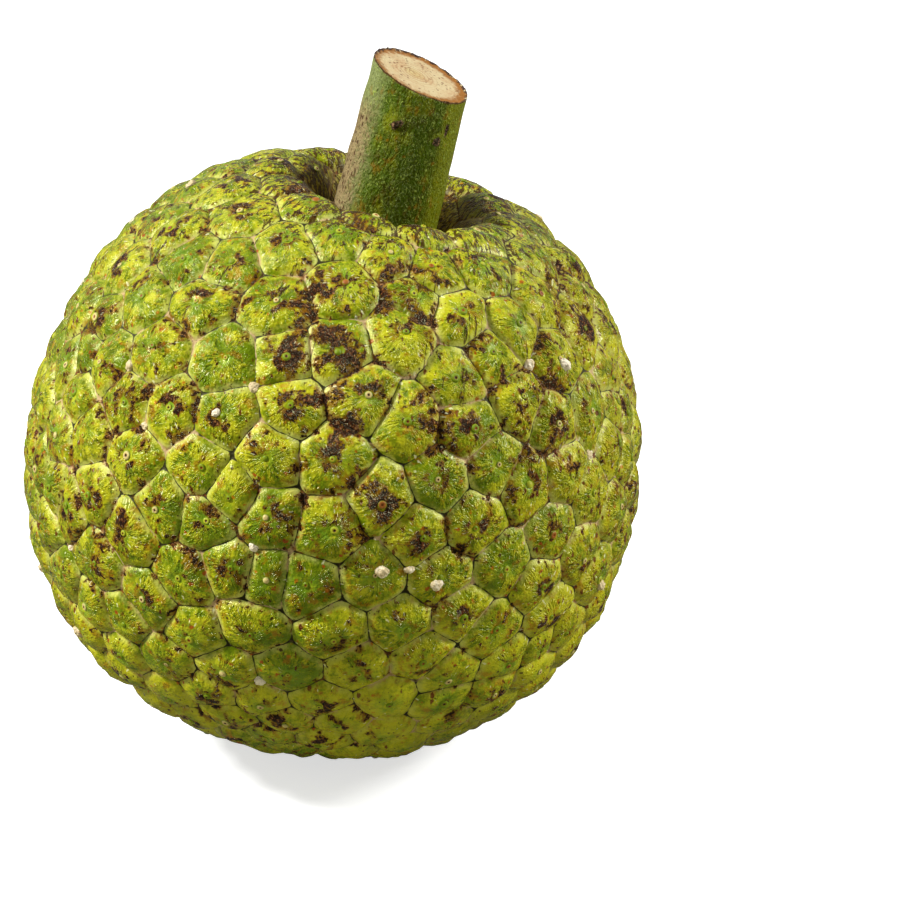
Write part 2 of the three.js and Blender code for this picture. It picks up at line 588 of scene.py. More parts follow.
def note(piece: bpy.types.Object, domain: str, **values: np.ndarray) -> None:
    """Stores mesh attributes.

    Args:
        piece: The object whose mesh gets them.
        domain: POINT, CORNER or FACE.
        **values: By the attribute's name, one number or vector for each point, corner or face.
    """
    for name, numbers in values.items():
        kind, part = ("FLOAT", "value") if np.ndim(numbers) == 1 else ("FLOAT_VECTOR", "vector")
        made = piece.data.attributes.new(name, kind, domain)
        made.data.foreach_set(part, np.ravel(numbers).astype(np.float32))


def named_sizes(owner: object, *names: str) -> dict[str, float]:
    """Some of an owner's sizes, each by the name that a geometry tree's input has."""
    return {name.replace("_", " ").title(): getattr(owner, name) for name in names}


def new_grower(name: str, sizes: dict[str, float]) -> tuple[Bench, Given]:
    """A new geometry tree that takes a geometry, named sizes and a material.

    Args:
        name: The tree's name.
        sizes: The sizes.

    Returns:
        The bench for the tree, and its inputs by name.
    """
    inlets = {"Geometry": "NodeSocketGeometry", **sizes, "Material": "NodeSocketMaterial"}
    return new_group(name, "GeometryNodeTree", inlets, ("Geometry", "NodeSocketGeometry"))


def finish_tree(bench: Bench, geometry: Socket, material: Socket) -> Tree:
    """Ends a geometry tree with its instances made real and its material set.

    Args:
        bench: The tree's bench.
        geometry: What the tree has made.
        material: The tree's input for the material.

    Returns:
        The finished tree.
    """
    real = bench.node("GeometryNodeRealizeInstances", {"Geometry": geometry})
    dressed = bench.node("GeometryNodeSetMaterial", {"Geometry": real.outputs[0], "Material": material})
    return close_group(bench, dressed.outputs[0])


def grow(piece: bpy.types.Object, tree: Tree, values: dict[str, object]) -> None:
    """Runs a geometry tree on a piece and keeps the result as the piece's own plain mesh.

    Args:
        piece: The object.
        tree: The geometry tree.
        values: What its named inputs get.
    """
    modifier = piece.modifiers.new(tree.name, "NODES")
    modifier.node_group = tree
    for item in tree.interface.items_tree:
        if item.in_out == "INPUT" and item.name in values:
            modifier[item.identifier] = values[item.name]
    graph = bpy.context.evaluated_depsgraph_get()
    made = bpy.data.meshes.new_from_object(
        piece.evaluated_get(graph), preserve_all_data_layers=True, depsgraph=graph
    )
    piece.modifiers.clear()
    made.name = piece.name
    piece.data = made


# ---- The fruit's form ----


@dataclass(frozen=True)
class FruitForm:
    """The bulk of the fruit round its core, without its fruitlets, and the way it stands."""

    body_radius: float = 75 * MM
    shoulder_fullness: float = 0.011
    shoulder_angle: float = math.radians(35)
    base_flattening: float = 1.4 * MM
    base_width: float = math.radians(30)
    side_lump: float = 0.5 * MM
    core_lean: float = math.radians(13)
    spot_depth: float = 1.9 * MM
    pit_depth: float = 21 * MM
    pit_radius: float = 17 * MM
    pit_steepness: float = 5
    slope_step: float = 0.004
    spot_search: float = 6.0
    spot_search_step: float = 0.25

    def bulk_radius(self, from_core: np.ndarray, turn: np.ndarray) -> np.ndarray:
        """Distance from the fruit's middle to its skin.

        Args:
            from_core: Angle from the core.
            turn: Angle round the core.

        Returns:
            The distances.
        """
        shoulders = np.cos(4 * (from_core - self.shoulder_angle))
        from_base = (math.pi - from_core) / self.base_width
        lumps = np.sin(2 * turn + 0.7) + np.sin(3 * turn + 2.1)
        return (
            self.body_radius * (1 + self.shoulder_fullness * shoulders)
            - self.base_flattening * np.exp(-(from_base**2))
            + self.side_lump * np.sin(from_core) ** 2 * lumps
        )

    def skin_points(self, directions: np.ndarray) -> np.ndarray:
        """Points of the skin, with the pit sunk in the crown.

        Args:
            directions: Directions from the fruit's middle.

        Returns:
            The skin's point in each direction, in the fruit's own frame.
        """
        from_core = np.arccos(np.clip(directions[:, 2], -1, 1))
        turn = np.arctan2(directions[:, 1], directions[:, 0])
        reach = self.bulk_radius(from_core, turn)
        off_core = reach * np.sin(from_core)
        sink = self.pit_depth / (1 + (off_core / self.pit_radius) ** self.pit_steepness)
        points = directions * reach[:, None]
        points[:, 2] -= np.where(directions[:, 2] > 0, sink, 0)
        return points

    def skin_normals(self, directions: np.ndarray) -> np.ndarray:
        """Outward normals of the skin.

        Args:
            directions: Directions from the fruit's middle.

        Returns:
            The normal in each direction.
        """
        near_core = np.abs(directions[:, 2:]) > 0.9
        aside = np.where(near_core, (1.0, 0.0, 0.0), (0.0, 0.0, 1.0))
        across = unit(np.cross(aside, directions))
        along = np.cross(directions, across)
        slopes = []
        for way in (across * self.slope_step, along * self.slope_step):
            ahead = self.skin_points(unit(directions + way))
            slopes.append(ahead - self.skin_points(unit(directions - way)))
        return unit(np.cross(slopes[0], slopes[1]))

    def standing(self) -> Matrix:
        """Stands the fruit on the lowest spot of its leaning underside.

        Returns:
            The move from the fruit's own frame, with the core upright, to where it stands.
        """
        lean = Matrix.Rotation(self.core_lean, 4, "Y")
        off_lean = np.arange(-self.spot_search, self.spot_search + 0.01, self.spot_search_step)
        angles = self.core_lean + np.radians(off_lean)
        under = np.stack([np.sin(angles), np.zeros_like(angles), -np.cos(angles)], axis=1)
        low = min((lean @ Vector(point) for point in self.skin_points(under)), key=lambda point: point.z)
        return Matrix.Translation((-low.x, 0, -low.z - self.spot_depth)) @ lean

    def middle(self) -> Vector:
        """The fruit's middle where it stands."""
        return self.standing().translation

    def stood(self, points: np.ndarray) -> np.ndarray:
        """Points of the fruit's own frame where it stands."""
        move = np.array(self.standing())
        return points @ move[:3, :3].T + move[:3, 3]

    def turned(self, vectors: np.ndarray) -> np.ndarray:
        """Vectors of the fruit's own frame as they point where it stands."""
        return vectors @ np.array(self.standing())[:3, :3].T


@dataclass(frozen=True)
class FruitletLayout:
    """Where the fruitlets sit round the fruit, as directions from its middle."""

    count: int = 424
    growth: float = 0.12
    shake: float = 0.42
    relaxing_rounds: int = 2
    small_every: int = 58
    small_shift: float = 0.035
    crown_rings: tuple[tuple[int, float], ...] = ((1, 0.0), (6, 8.5), (14, 18.5))
    crown_calm: float = 0.4

    def crown(self) -> np.ndarray:
        """Sets fruitlets side by side along the lip of the pit.

        Returns:
            Directions on rings round the core.
        """
        rings = []
        for count, degrees in self.crown_rings:
            turns = np.arange(count) * math.tau / count
            off_core, up = math.sin(math.radians(degrees)), math.cos(math.radians(degrees))
            ring = [off_core * np.cos(turns), off_core * np.sin(turns), np.full(count, up)]
            rings.append(np.stack(ring, axis=1))
        return np.concatenate(rings)

    def spiral(self) -> np.ndarray:
        """Sets fruitlets on a golden-angle spiral below the crown's rings.

        Returns:
            Directions, each shaken a little off its place.
        """
        index = np.arange(self.count)
        even = 1 - (2 * index + 1) / self.count
        height = even + self.growth * (even**2 - 1) / 2
        ring = np.sqrt(1 - height**2)
        turn = index * GOLDEN_ANGLE
        places = np.stack([ring * np.cos(turn), ring * np.sin(turn), height], axis=1)
        shaken = scatters(index, SHAKE_SEEDS) - 0.5
        shaken *= 2 * self.shake * math.sqrt(4 * math.pi / self.count)
        crown = self.crown()
        places[: len(crown)] = crown
        shaken[: len(crown)] *= self.crown_calm
        return unit(places + shaken)

    @staticmethod
    def frames(centres: np.ndarray) -> tuple[np.ndarray, np.ndarray]:
        """Two directions square to each centre, which its fruitlet is measured along."""
        east = unit(np.cross(OFF_EVERY_CENTRE, centres))
        return east, np.cross(centres, east)

    def borders(self, centres: np.ndarray) -> tuple[np.ndarray, list[np.ndarray]]:
        """The borders that lie half way between each centre and the next.

        Args:
            centres: The fruitlets' centres.

        Returns:
            The corners as directions, and each fruitlet's own corners in order round it.
        """
        hull = bmesh.new()
        for centre in centres:
            hull.verts.new(centre)
        hull.verts.index_update()
        bmesh.ops.convex_hull(hull, input=hull.verts)
        triangles = np.array([[vertex.index for vertex in face.verts] for face in hull.faces])
        hull.free()
        first, second, third = (centres[triangles[:, side]] for side in range(3))
        corners = unit(np.cross(second - first, third - first))
        corners *= np.sign(np.sum(corners * first, axis=1, keepdims=True))
        east, north = self.frames(centres)
        rings = []
        for index in range(len(centres)):
            own = np.flatnonzero((triangles == index).any(axis=1))
            bearing = np.arctan2(corners[own] @ north[index], corners[own] @ east[index])
            rings.append(own[np.argsort(bearing)])
        return corners, rings

    def centres(self) -> np.ndarray:
        """Moves each fruitlet to the middle of its own room, and sets small ones in some gaps.

        Returns:
            The centres of them all.
        """
        centres = self.spiral()
        for _ in range(self.relaxing_rounds):
            corners, rings = self.borders(centres)
            centres = unit(np.array([corners[ring].sum(axis=0) for ring in rings]))
        gaps, _ = self.borders(centres)
        small = gaps[np.argsort(gaps[:, 2])][:: self.small_every]
        aside = unit(scatters(np.arange(len(small)), GAP_SEEDS) - 0.5)
        return np.concatenate([centres, unit(small + aside * self.small_shift)])


@dataclass
class Fruitlets:
    """The fruitlets' centres, corners and borders, worked out once for every piece that follows them."""

    form: FruitForm
    layout: FruitletLayout
    tip_offset: float = 0.9
    centres: np.ndarray = field(init=False)
    corners: np.ndarray = field(init=False)
    rings: list[np.ndarray] = field(init=False)
    tips: np.ndarray = field(init=False)

    def __post_init__(self) -> None:
        """Lays the fruitlets out, each with its tip a little off its middle."""
        self.centres = self.layout.centres()
        self.corners, self.rings = self.layout.borders(self.centres)
        aside = scatters(np.arange(len(self.centres)), TIP_PLACE_SEEDS) * 2 - 1
        self.tips = aside * self.tip_offset

    def flat(self, index: int, directions: np.ndarray) -> np.ndarray:
        """Lays directions on the plane that touches a fruitlet's middle.

        Args:
            index: The fruitlet.
            directions: Directions from the fruit's middle.

        Returns:
            Their flat places in millimetres.
        """
        east, north = self.layout.frames(self.centres[index : index + 1])
        ahead = directions @ self.centres[index]
        scale = self.form.body_radius / MM / ahead
        return np.stack([directions @ east[0] * scale, directions @ north[0] * scale], axis=1)

    def raised(self, index: int, place: np.ndarray) -> np.ndarray:
        """Finds where a flat place is on the fruit.

        Args:
            index: The fruitlet.
            place: The flat place in millimetres.

        Returns:
            Its direction from the fruit's middle.
        """
        east, north = self.layout.frames(self.centres[index : index + 1])
        aside = (place[0] * east[0] + place[1] * north[0]) * MM / self.form.body_radius
        return unit(self.centres[index] + aside)


@dataclass
class SkinMesh:
    """The skin before its relief: rings of faces inside each fruitlet's border.

    Neighbours share the vertices of their border, so the skin is one closed surface.
    """

    fruitlets: Fruitlets
    step: float = 1.6
    insets: tuple[float, ...] = (0.0, 0.22, 0.55, 1.1, 2.0)
    tip_rings: tuple[float, ...] = (2.5, 1.6, 0.9)
    tip_ring_spare: float = 1.15
    deepest_inset_share: float = 0.45
    corner_rounding: float = 0.42
    sways: tuple[tuple[float, float], ...] = ((7.0, 0.75), (2.4, 0.28))
    sway_seed: int = 5
    groove_depth: float = 2.15 * MM
    far_from_tip: float = 9.0
    pit_reach: tuple[float, float] = (20 * MM, 12 * MM)
    pit_groove_share: float = 0.65
    directions: list[np.ndarray] = field(default_factory=list)
    faces: list[tuple[int, ...]] = field(default_factory=list)
    owners: list[int] = field(default_factory=list)
    rims: list[float] = field(default_factory=list)
    off_tips: list[float] = field(default_factory=list)
    shares: list[float] = field(default_factory=list)
    places: list[tuple[float, float, float]] = field(default_factory=list)

    def __post_init__(self) -> None:
        """Starts with the corners, which come first among the vertices."""
        self.add_border(self.fruitlets.corners)
        self.edges: dict[tuple[int, int], np.ndarray] = {}

    def add(
        self, directions: np.ndarray, rims: np.ndarray, off_tips: np.ndarray, share: float
    ) -> np.ndarray:
        """Adds vertices.

        Args:
            directions: Where they are from the fruit's middle.
            rims: How far each is inside its border, in millimetres.
            off_tips: How far each is from the fruitlet's tip, in millimetres.
            share: The fruitlet's own random number.

        Returns:
            Their numbers.
        """
        start = len(self.rims)
        self.directions.extend(directions)
        self.rims.extend(rims)
        self.off_tips.extend(off_tips)
        self.shares.extend([share] * len(rims))
        return np.arange(start, len(self.rims))

    def add_border(self, directions: np.ndarray) -> np.ndarray:
        """Adds vertices on the borders between fruitlets, and gives their numbers."""
        count = len(directions)
        return self.add(directions, np.zeros(count), np.full(count, self.far_from_tip), 0.5)

    def edge(self, start: int, end: int) -> np.ndarray:
        """The vertices of one edge of a border, which both its sides share.

        Args:
            start: The number of the corner that it starts from.
            end: The number of the corner that it leads to.

        Returns:
            The vertices' numbers, with the first corner and without the last.
        """
        low, high = min(start, end), max(start, end)
        if (low, high) not in self.edges:
            first, last = self.fruitlets.corners[[low, high]]
            length = np.linalg.norm(first - last) * self.fruitlets.form.body_radius / MM
            count = max(1, round(length / self.step))
            shares = np.arange(1, count)[:, None] / count
            between = unit(first * (1 - shares) + last * shares)
            self.edges[low, high] = self.add_border(between)
        inner = self.edges[low, high]
        return np.concatenate([[start], inner if start == low else inner[::-1]]).astype(int)

    def rim(self, places: np.ndarray, outline: np.ndarray) -> np.ndarray:
        """How far places of a fruitlet are inside its border, with rounded corners.

        Args:
            places: Flat places in millimetres.
            outline: The flat places of its corners.

        Returns:
            The distances in millimetres.
        """
        along = unit(np.roll(outline, -1, axis=0) - outline)
        inward = np.stack([-along[:, 1], along[:, 0]], axis=1)
        gaps = np.einsum("pij,ij->pi", places[:, None, :] - outline[None], inward)
        nearest = gaps.min(axis=1)
        soft = np.exp(-(gaps - nearest[:, None]) / self.corner_rounding).sum(axis=1)
        return np.maximum(nearest - self.corner_rounding * np.log(soft), 0)

    def add_face(self, index: int, corners: list[tuple[int, np.ndarray]]) -> None:
        """Adds one face.

        Args:
            index: Its fruitlet.
            corners: The vertex number and flat place of each corner.
        """
        tip = self.fruitlets.tips[index]
        share = float(scatter(index, FRUITLET_SEED))
        self.faces.append(tuple(int(number) for number, _ in corners))
        self.owners.append(index)
        self.places.extend((flat[0] - tip[0], flat[1] - tip[1], share) for _, flat in corners)

    def add_fruitlet(self, index: int) -> None:
        """Fills one fruitlet's border with rings of faces.

        Args:
            index: The fruitlet.
        """
        ring = self.fruitlets.rings[index]
        tip = self.fruitlets.raised(index, self.fruitlets.tips[index])
        share = float(scatter(index, FRUITLET_SEED))
        border = np.concatenate([self.edge(start, end) for start, end in zip(ring, np.roll(ring, -1))])
        rim_directions = np.array([self.directions[number] for number in border])
        outline = self.fruitlets.flat(index, self.fruitlets.corners[ring])
        flats = [self.fruitlets.flat(index, rim_directions)]
        reach = np.linalg.norm(flats[0] - self.fruitlets.tips[index], axis=1)
        room = reach.min() * (1 - self.deepest_inset_share)
        deepest = min(self.insets[-1], reach.min() - room)
        insets = [inset / self.insets[-1] * deepest / reach for inset in self.insets]
        narrowing = min(1.0, room / (self.tip_rings[0] * self.tip_ring_spare))
        insets += [1 - radius * narrowing / reach for radius in self.tip_rings]
        numbers = [border]
        for inset in insets[1:]:
            inside = unit(rim_directions * (1 - inset[:, None]) + tip * inset[:, None])
            flats.append(self.fruitlets.flat(index, inside))
            off_tip = np.linalg.norm(flats[-1] - self.fruitlets.tips[index], axis=1)
            numbers.append(self.add(inside, self.rim(flats[-1], outline), off_tip, share))
        middle_rim = self.rim(self.fruitlets.tips[index : index + 1], outline)
        middle = self.add(tip[None], middle_rim, np.zeros(1), share)[0]
        after = np.roll(np.arange(len(border)), -1)
        for outer, inner, outer_flat, inner_flat in zip(numbers, numbers[1:], flats, flats[1:]):
            for j, k in enumerate(after):
                outside = [(outer[j], outer_flat[j]), (outer[k], outer_flat[k])]
                self.add_face(index, outside + [(inner[k], inner_flat[k]), (inner[j], inner_flat[j])])
        for j, k in enumerate(after):
            last = [(numbers[-1][j], flats[-1][j]), (numbers[-1][k], flats[-1][k])]
            self.add_face(index, last + [(middle, self.fruitlets.tips[index])])

    def swayed(self, directions: np.ndarray) -> np.ndarray:
        """Stirs directions a little sideways, so that no border is quite straight.

        Args:
            directions: The directions.

        Returns:
            The stirred directions.
        """
        noise.seed_set(self.sway_seed)
        radius = self.fruitlets.form.body_radius / MM
        stirred = np.zeros_like(directions)
        for size, sway in self.sways:
            scale = radius / size
            stirred += sway * np.array([noise.noise_vector(Vector(way) * scale) for way in directions])
        return unit(directions + stirred / radius)

    def pit_shares(self, points: np.ndarray) -> np.ndarray:
        """Tells the wall of the pit from the rest.

        Args:
            points: Points of the skin in the fruit's own frame.

        Returns:
            1 for points on the wall and 0 for those outside it.
        """
        outside, inside = self.pit_reach
        shares = np.clip((np.hypot(points[:, 0], points[:, 1]) - outside) / (inside - outside), 0, 1)
        return shares * (points[:, 2] > 0)

    def piece(self, name: str) -> bpy.types.Object:
        """Builds the skin's mesh, with the attributes that its relief and finish follow.

        Args:
            name: The piece's name.

        Returns:
            The piece.
        """
        count = len(self.fruitlets.centres)
        for index in range(count):
            self.add_fruitlet(index)
        form = self.fruitlets.form
        directions = self.swayed(np.array(self.directions))
        points = form.skin_points(directions)
        pit = self.pit_shares(points)
        depths = self.groove_depth * (1 - pit * (1 - self.pit_groove_share))
        points = points - form.skin_normals(directions) * depths[:, None]
        made = new_piece(name, form.stood(points), self.faces)
        note(made, "POINT", pit=pit, rim=self.rims, off_tip=self.off_tips, own_share=self.shares)
        note(made, "CORNER", place=self.places)
        note(made, "FACE", luck=scatters(np.arange(count), LUCK_SEEDS)[self.owners])
        return made


# ---- The skin ----


@dataclass(frozen=True)
class ScarredPlace:
    """A place where the rind rubbed or dried.

    Its turn and rise are seen from the fruit's middle, in degrees, and its reach is in millimetres.
    """

    turn: float
    rise: float
    reach: float
    weight: float = 1.0

    def point(self, middle: Vector, radius: float) -> tuple[float, float, float]:
        """Finds the place on the fruit.

        Args:
            middle: The fruit's middle.
            radius: The fruit's radius.

        Returns:
            The place's point, in millimetres.
        """
        turn, rise = math.radians(self.turn), math.radians(self.rise)
        level = math.cos(rise)
        way = Vector((level * math.cos(turn), level * math.sin(turn), math.sin(rise)))
        return tuple((middle + way * radius) / MM)


SCARRED_PLACES = (
    ScarredPlace(-90, 40, 13, 1.0),
    ScarredPlace(-91, 50, 8, 0.8),
    ScarredPlace(-88, 27, 10, 1.0),
    ScarredPlace(-85, 15, 10, 0.8),
    ScarredPlace(-79, 8, 8, 0.8),
    ScarredPlace(-70, 50, 9, 0.7),
    ScarredPlace(-67, 27, 8, 1.1),
    ScarredPlace(-128, 3, 11, 0.8),
    ScarredPlace(-133, 27, 8, 0.7),
    ScarredPlace(-43, 24, 15, 0.7),
    ScarredPlace(-110, -32, 13, 0.7),
    ScarredPlace(-60, 80, 22, 0.7),
    ScarredPlace(-18, 38, 16, 0.8),
    ScarredPlace(-12, -4, 13, 0.8),
    ScarredPlace(20, 15, 17, 0.8),
    ScarredPlace(75, 35, 16, 0.9),
    ScarredPlace(110, -5, 14, 0.8),
    ScarredPlace(165, 30, 15, 0.8),
)


@dataclass
class RindReading:
    """What the rind's finish reads from the skin: where it is and how it lies in its fruitlet."""

    bench: Bench
    millimetres: Socket = field(init=False)
    height: Signal = field(init=False)
    side: Signal = field(init=False)
    rim: Signal = field(init=False)
    x: Signal = field(init=False)
    y: Signal = field(init=False)
    share: Signal = field(init=False)
    radius: Signal = field(init=False)
    luck: tuple[Signal, Signal, Signal] = field(init=False)

    def __post_init__(self) -> None:
        """Makes the reading nodes."""
        bench = self.bench
        self.millimetres = bench.millimetres()
        aside, _, self.height = bench.parts(self.millimetres)
        self.side = aside.rise(32.0, 60.0).at_least(aside.rise(-44.0, -70.0) * 0.5)
        self.rim = bench.read("rim")
        self.x, self.y, self.share = bench.read_parts("place")
        self.radius = bench.off_centre(self.x, self.y)
        self.luck = bench.read_parts("luck")

    def moved(self, x: float, y: float, z: float) -> Socket:
        """The place in millimetres, moved aside so that a pattern there is not like the one here."""
        return self.bench.shifted(self.millimetres, x, y, z)

    def rays(self, length: float, width: float) -> Socket:
        """Places for a pattern whose lumps point at the fruitlet's tip.

        Args:
            length: How long a lump is, in millimetres.
            width: How wide a lump is, in millimetres.

        Returns:
            The places, in which a lump is a unit across.
        """
        near = self.radius.at_least(0.05)
        around = 4.0 / width
        outward = self.radius / length + self.share * 90.0
        return self.bench.joined(self.x / near * around, self.y / near * around, outward)


@dataclass(frozen=True)
class RindFinish:
    """Green to yellow rind with raised flecks round each tip, red-brown freckles and dark scabs."""

    effects: SharedEffects
    form: FruitForm
    green: Colour = paint(100, 122, 4)
    yellow: Colour = paint(182, 180, 26)
    deep_green: Colour = paint(80, 100, 2)
    heart: Colour = paint(112, 150, 32)
    ochre: Colour = paint(158, 104, 10)
    orange: Colour = paint(176, 92, 8)
    # Pale of the fruitlets' borders, partly painted sheen
    pale_and_highlight: Colour = paint(196, 200, 112)
    groove: Colour = paint(38, 34, 6)
    groove_cork: Colour = paint(180, 152, 108)
    # Pale specks, partly the rind's own flecks and partly painted glints
    pale_speck_and_glint: Colour = paint(232, 232, 180)
    freckle: Colour = paint(56, 26, 10)
    red_spot: Colour = paint(156, 50, 12)
    scab_dark: Colour = paint(36, 14, 8)
    scab_brown: Colour = paint(96, 50, 26)
    # Light crumbs of the scabs, partly paler crust and partly painted glints
    scab_light_and_glint: Colour = paint(172, 122, 66)
    scab_edge: Colour = paint(124, 70, 8)
    dash: Colour = paint(96, 34, 12)
    pit_brown: Colour = paint(126, 88, 6)
    calm_top: float = 62.0
    calm_bottom: float = 34.0
    shine: float = 0.36
    shine_tint: Colour = (1.0, 1.0, 0.55)

    def material(self) -> bpy.types.Material:
        """Builds the rind's material.

        Returns:
            The material.
        """
        surface = Surface.new("breadfruit_rind")
        bench = surface.bench
        read = RindReading(bench)
        patch = bench.noise(read.millimetres, 4.2, detail=3.0, roughness=0.6)
        fine = bench.noise(read.millimetres, 0.7, detail=3.0, roughness=0.75)
        flecks = bench.noise(read.rays(1.7, 0.6), 1.0, detail=2.0, roughness=0.65)
        uneven = bench.noise(read.moved(6.0, 6.0, 40.0), 3.4, detail=2.0)
        calm = read.height.rise(self.calm_top, self.calm_bottom)
        fleck_room = read.radius.rise(0.9, 2.2) * read.rim.rise(0.5, 1.8)
        fleck_room = fleck_room * (uneven.rise(0.4, 0.62) * 0.85 + 0.15) * (1.0 - calm * 0.6)
        raised_flecks = (flecks - 0.5) * fleck_room

        colour = self.ground(read, patch, fine, raised_flecks, calm)
        colour, grooves = self.grooves(read, colour, patch)
        spots = self.spots(read, patch, calm)
        crumbs = bench.noise(read.moved(9.0, 2.0, 5.0), 0.8, detail=3.0, roughness=0.8)
        scab, scab_edge = self.scabs(read, flecks, calm)
        scab_colour = bench.layered(
            self.scab_dark,
            (crumbs.rise(0.46, 0.6), self.scab_brown),
            # Light crumbs in the scabs: partly paler crust, partly painted glints
            (crumbs.rise(0.58, 0.66), self.scab_light_and_glint),
        )
        colour = bench.layered(
            colour,
            (spots["orange"] * 0.7, self.orange),
            (spots["red"] * 0.8, self.red_spot),
            (scab_edge * 0.8, self.scab_edge),
            (scab, scab_colour),
            (spots["dash"] * 0.9, self.dash),
            (spots["dark"] * 0.9, self.freckle),
            # Pale specks over everything, the scabs too: partly painted glints
            (spots["pale_and_highlight"] * 0.7, self.pale_speck_and_glint),
        )
        colour, in_pit = self.pit_stain(read, colour)
        roughness = fine * 0.26 + 0.08 + grooves * 0.4 + in_pit * 0.45
        height = (
            raised_flecks * (read.side * 0.6 + 1.6)
            + self.effects.pebbled(bench, read.millimetres, 0.55, 0.27) * (fleck_room * 0.7 + 0.3)
            + scab * (crumbs * 1.1 + 0.05)
        )
        return surface.finish(colour, roughness, height, self.shine, self.shine_tint)

    def ground(
        self, read: RindReading, patch: Signal, fine: Signal, flecks: Signal, calm: Signal
    ) -> Socket:
        """The rind's greens and yellows. Its pale border bands and lighter fleck crests are partly
        painted light.

        Args:
            read: The skin's reading.
            patch: Noise as wide as a part of a fruitlet.
            fine: Noise as fine as the rind's grain.
            flecks: The raised flecks, about zero. Their crests are painted yellower and the hollows
                between them greener, partly painted highlight and shade.
            calm: 1 low on the fruit, where the rind is smoother.

        Returns:
            The colour.
        """
        bench = read.bench
        wide = bench.noise(read.millimetres, 26.0, detail=2.0)
        # Colour follows the raised flecks, yellower on crests and greener between: partly the rind's own
        # mottling, partly painted highlight and shade
        level = wide * 0.5 + patch * 0.8 + fine * 0.45 + flecks * 1.4
        level = level + read.share * 0.12 + calm * 0.05 + read.side * 0.08
        low = bench.noise(read.moved(3.0, 3.0, 8.0), 2.4, detail=3.0, roughness=0.6)
        heart = read.radius.rise(4.6, 1.4) * (low + flecks * 0.8).rise(0.34, 0.56)
        stains = bench.noise(read.moved(31.0, 7.0, 3.0), 2.8, detail=4.0, roughness=0.65)
        # Pale band along each fruitlet's border: partly the rind's own paler edge, partly painted sheen,
        # weaker low on the fruit
        pale_rim_and_sheen = read.rim.rise(1.7, 0.2) * (patch + fine * 0.3).rise(0.52, 0.8)
        return bench.layered(
            self.green,
            (level.rise(0.75, 1.09), self.yellow),
            (low.rise(0.48, 0.66) * (0.65 - calm * 0.35), self.deep_green),
            (heart * (read.luck[1] * 0.6 + 0.2), self.heart),
            (stains.rise(0.54, 0.65) * 0.6, self.ochre),
            (read.side * stains.rise(0.4, 0.58) * 0.18, self.ochre),
            (pale_rim_and_sheen * (0.7 - calm * 0.4), self.pale_and_highlight),
        )

    def grooves(self, read: RindReading, colour: Socket, patch: Signal) -> tuple[Socket, Signal]:
        """Draws the thin lines between the fruitlets.

        Args:
            read: The skin's reading.
            colour: The rind's colour.
            patch: Noise as wide as a part of a fruitlet.

        Returns:
            The colour with its lines, and where they are.
        """
        bench = read.bench
        width = (bench.noise(read.moved(12.0, 8.0, 1.0), 2.2, detail=2.0) * 0.7 - 0.19).at_least(0.03)
        line = read.rim.rise(width, width * 0.3)
        cork = bench.noise(read.moved(50.0, 1.0, 1.0), 5.5, detail=3.0).rise(0.53, 0.6)
        line_colour = bench.blend(cork, self.groove, self.groove_cork)
        corky_side = cork * read.rim.rise(0.75, 0.2) * patch.rise(0.4, 0.6) * 0.6
        return bench.layered(colour, (corky_side, self.groove_cork), (line, line_colour)), line

    def spots(self, read: RindReading, patch: Signal, calm: Signal) -> dict[str, Signal]:
        """The strewn spots.

        Args:
            read: The skin's reading.
            patch: Noise as wide as a part of a fruitlet.
            calm: 1 low on the fruit, where spots are rarer.

        Returns:
            Where the dark freckles, brown dashes, orange and red dots and pale flecks are. The pale
            flecks are partly painted glints.
        """
        bench = read.bench
        crowd = bench.noise(read.moved(2.0, 60.0, 4.0), 11.0, detail=2.0).rise(0.34, 0.62)
        crowd = crowd * (1.0 - calm * 0.4)
        x, y, z = bench.parts(read.millimetres)
        stretched = bench.joined(x, y * 0.5 + z * 0.15, z * 0.5 - y * 0.1)
        # Share of pale specks, partly painted glints: more on the flanks, fewer low on the fruit
        pale_speck_and_glint_share = 0.5 - calm * 0.35 + read.side * 0.2

        def strewn(place: Socket, *sizes: Signal | float) -> Signal:
            """One layer of spots, by its spacing, size and share."""
            return self.effects.strewn(bench, place, *sizes)

        freckles = strewn(read.moved(7.0, 0.0, 0.0), 1.9, 0.42, crowd * patch.rise(0.3, 0.6) * 0.7)
        return {
            "dark": strewn(read.millimetres, 0.95, 0.23, crowd * 0.6 + 0.08).at_least(freckles),
            "dash": strewn(stretched, 1.35, 0.46, read.side * 0.8 + 0.06),
            "orange": strewn(read.moved(0.0, 0.0, 7.0), 2.2, 0.5, patch * 0.6),
            "red": strewn(read.moved(0.0, 7.0, 0.0), 3.6, 0.6, 0.4),
            "pale_and_highlight": strewn(read.rays(2.6, 0.75), 0.9, 0.2, pale_speck_and_glint_share) * read.radius.rise(0.9, 1.8),
        }

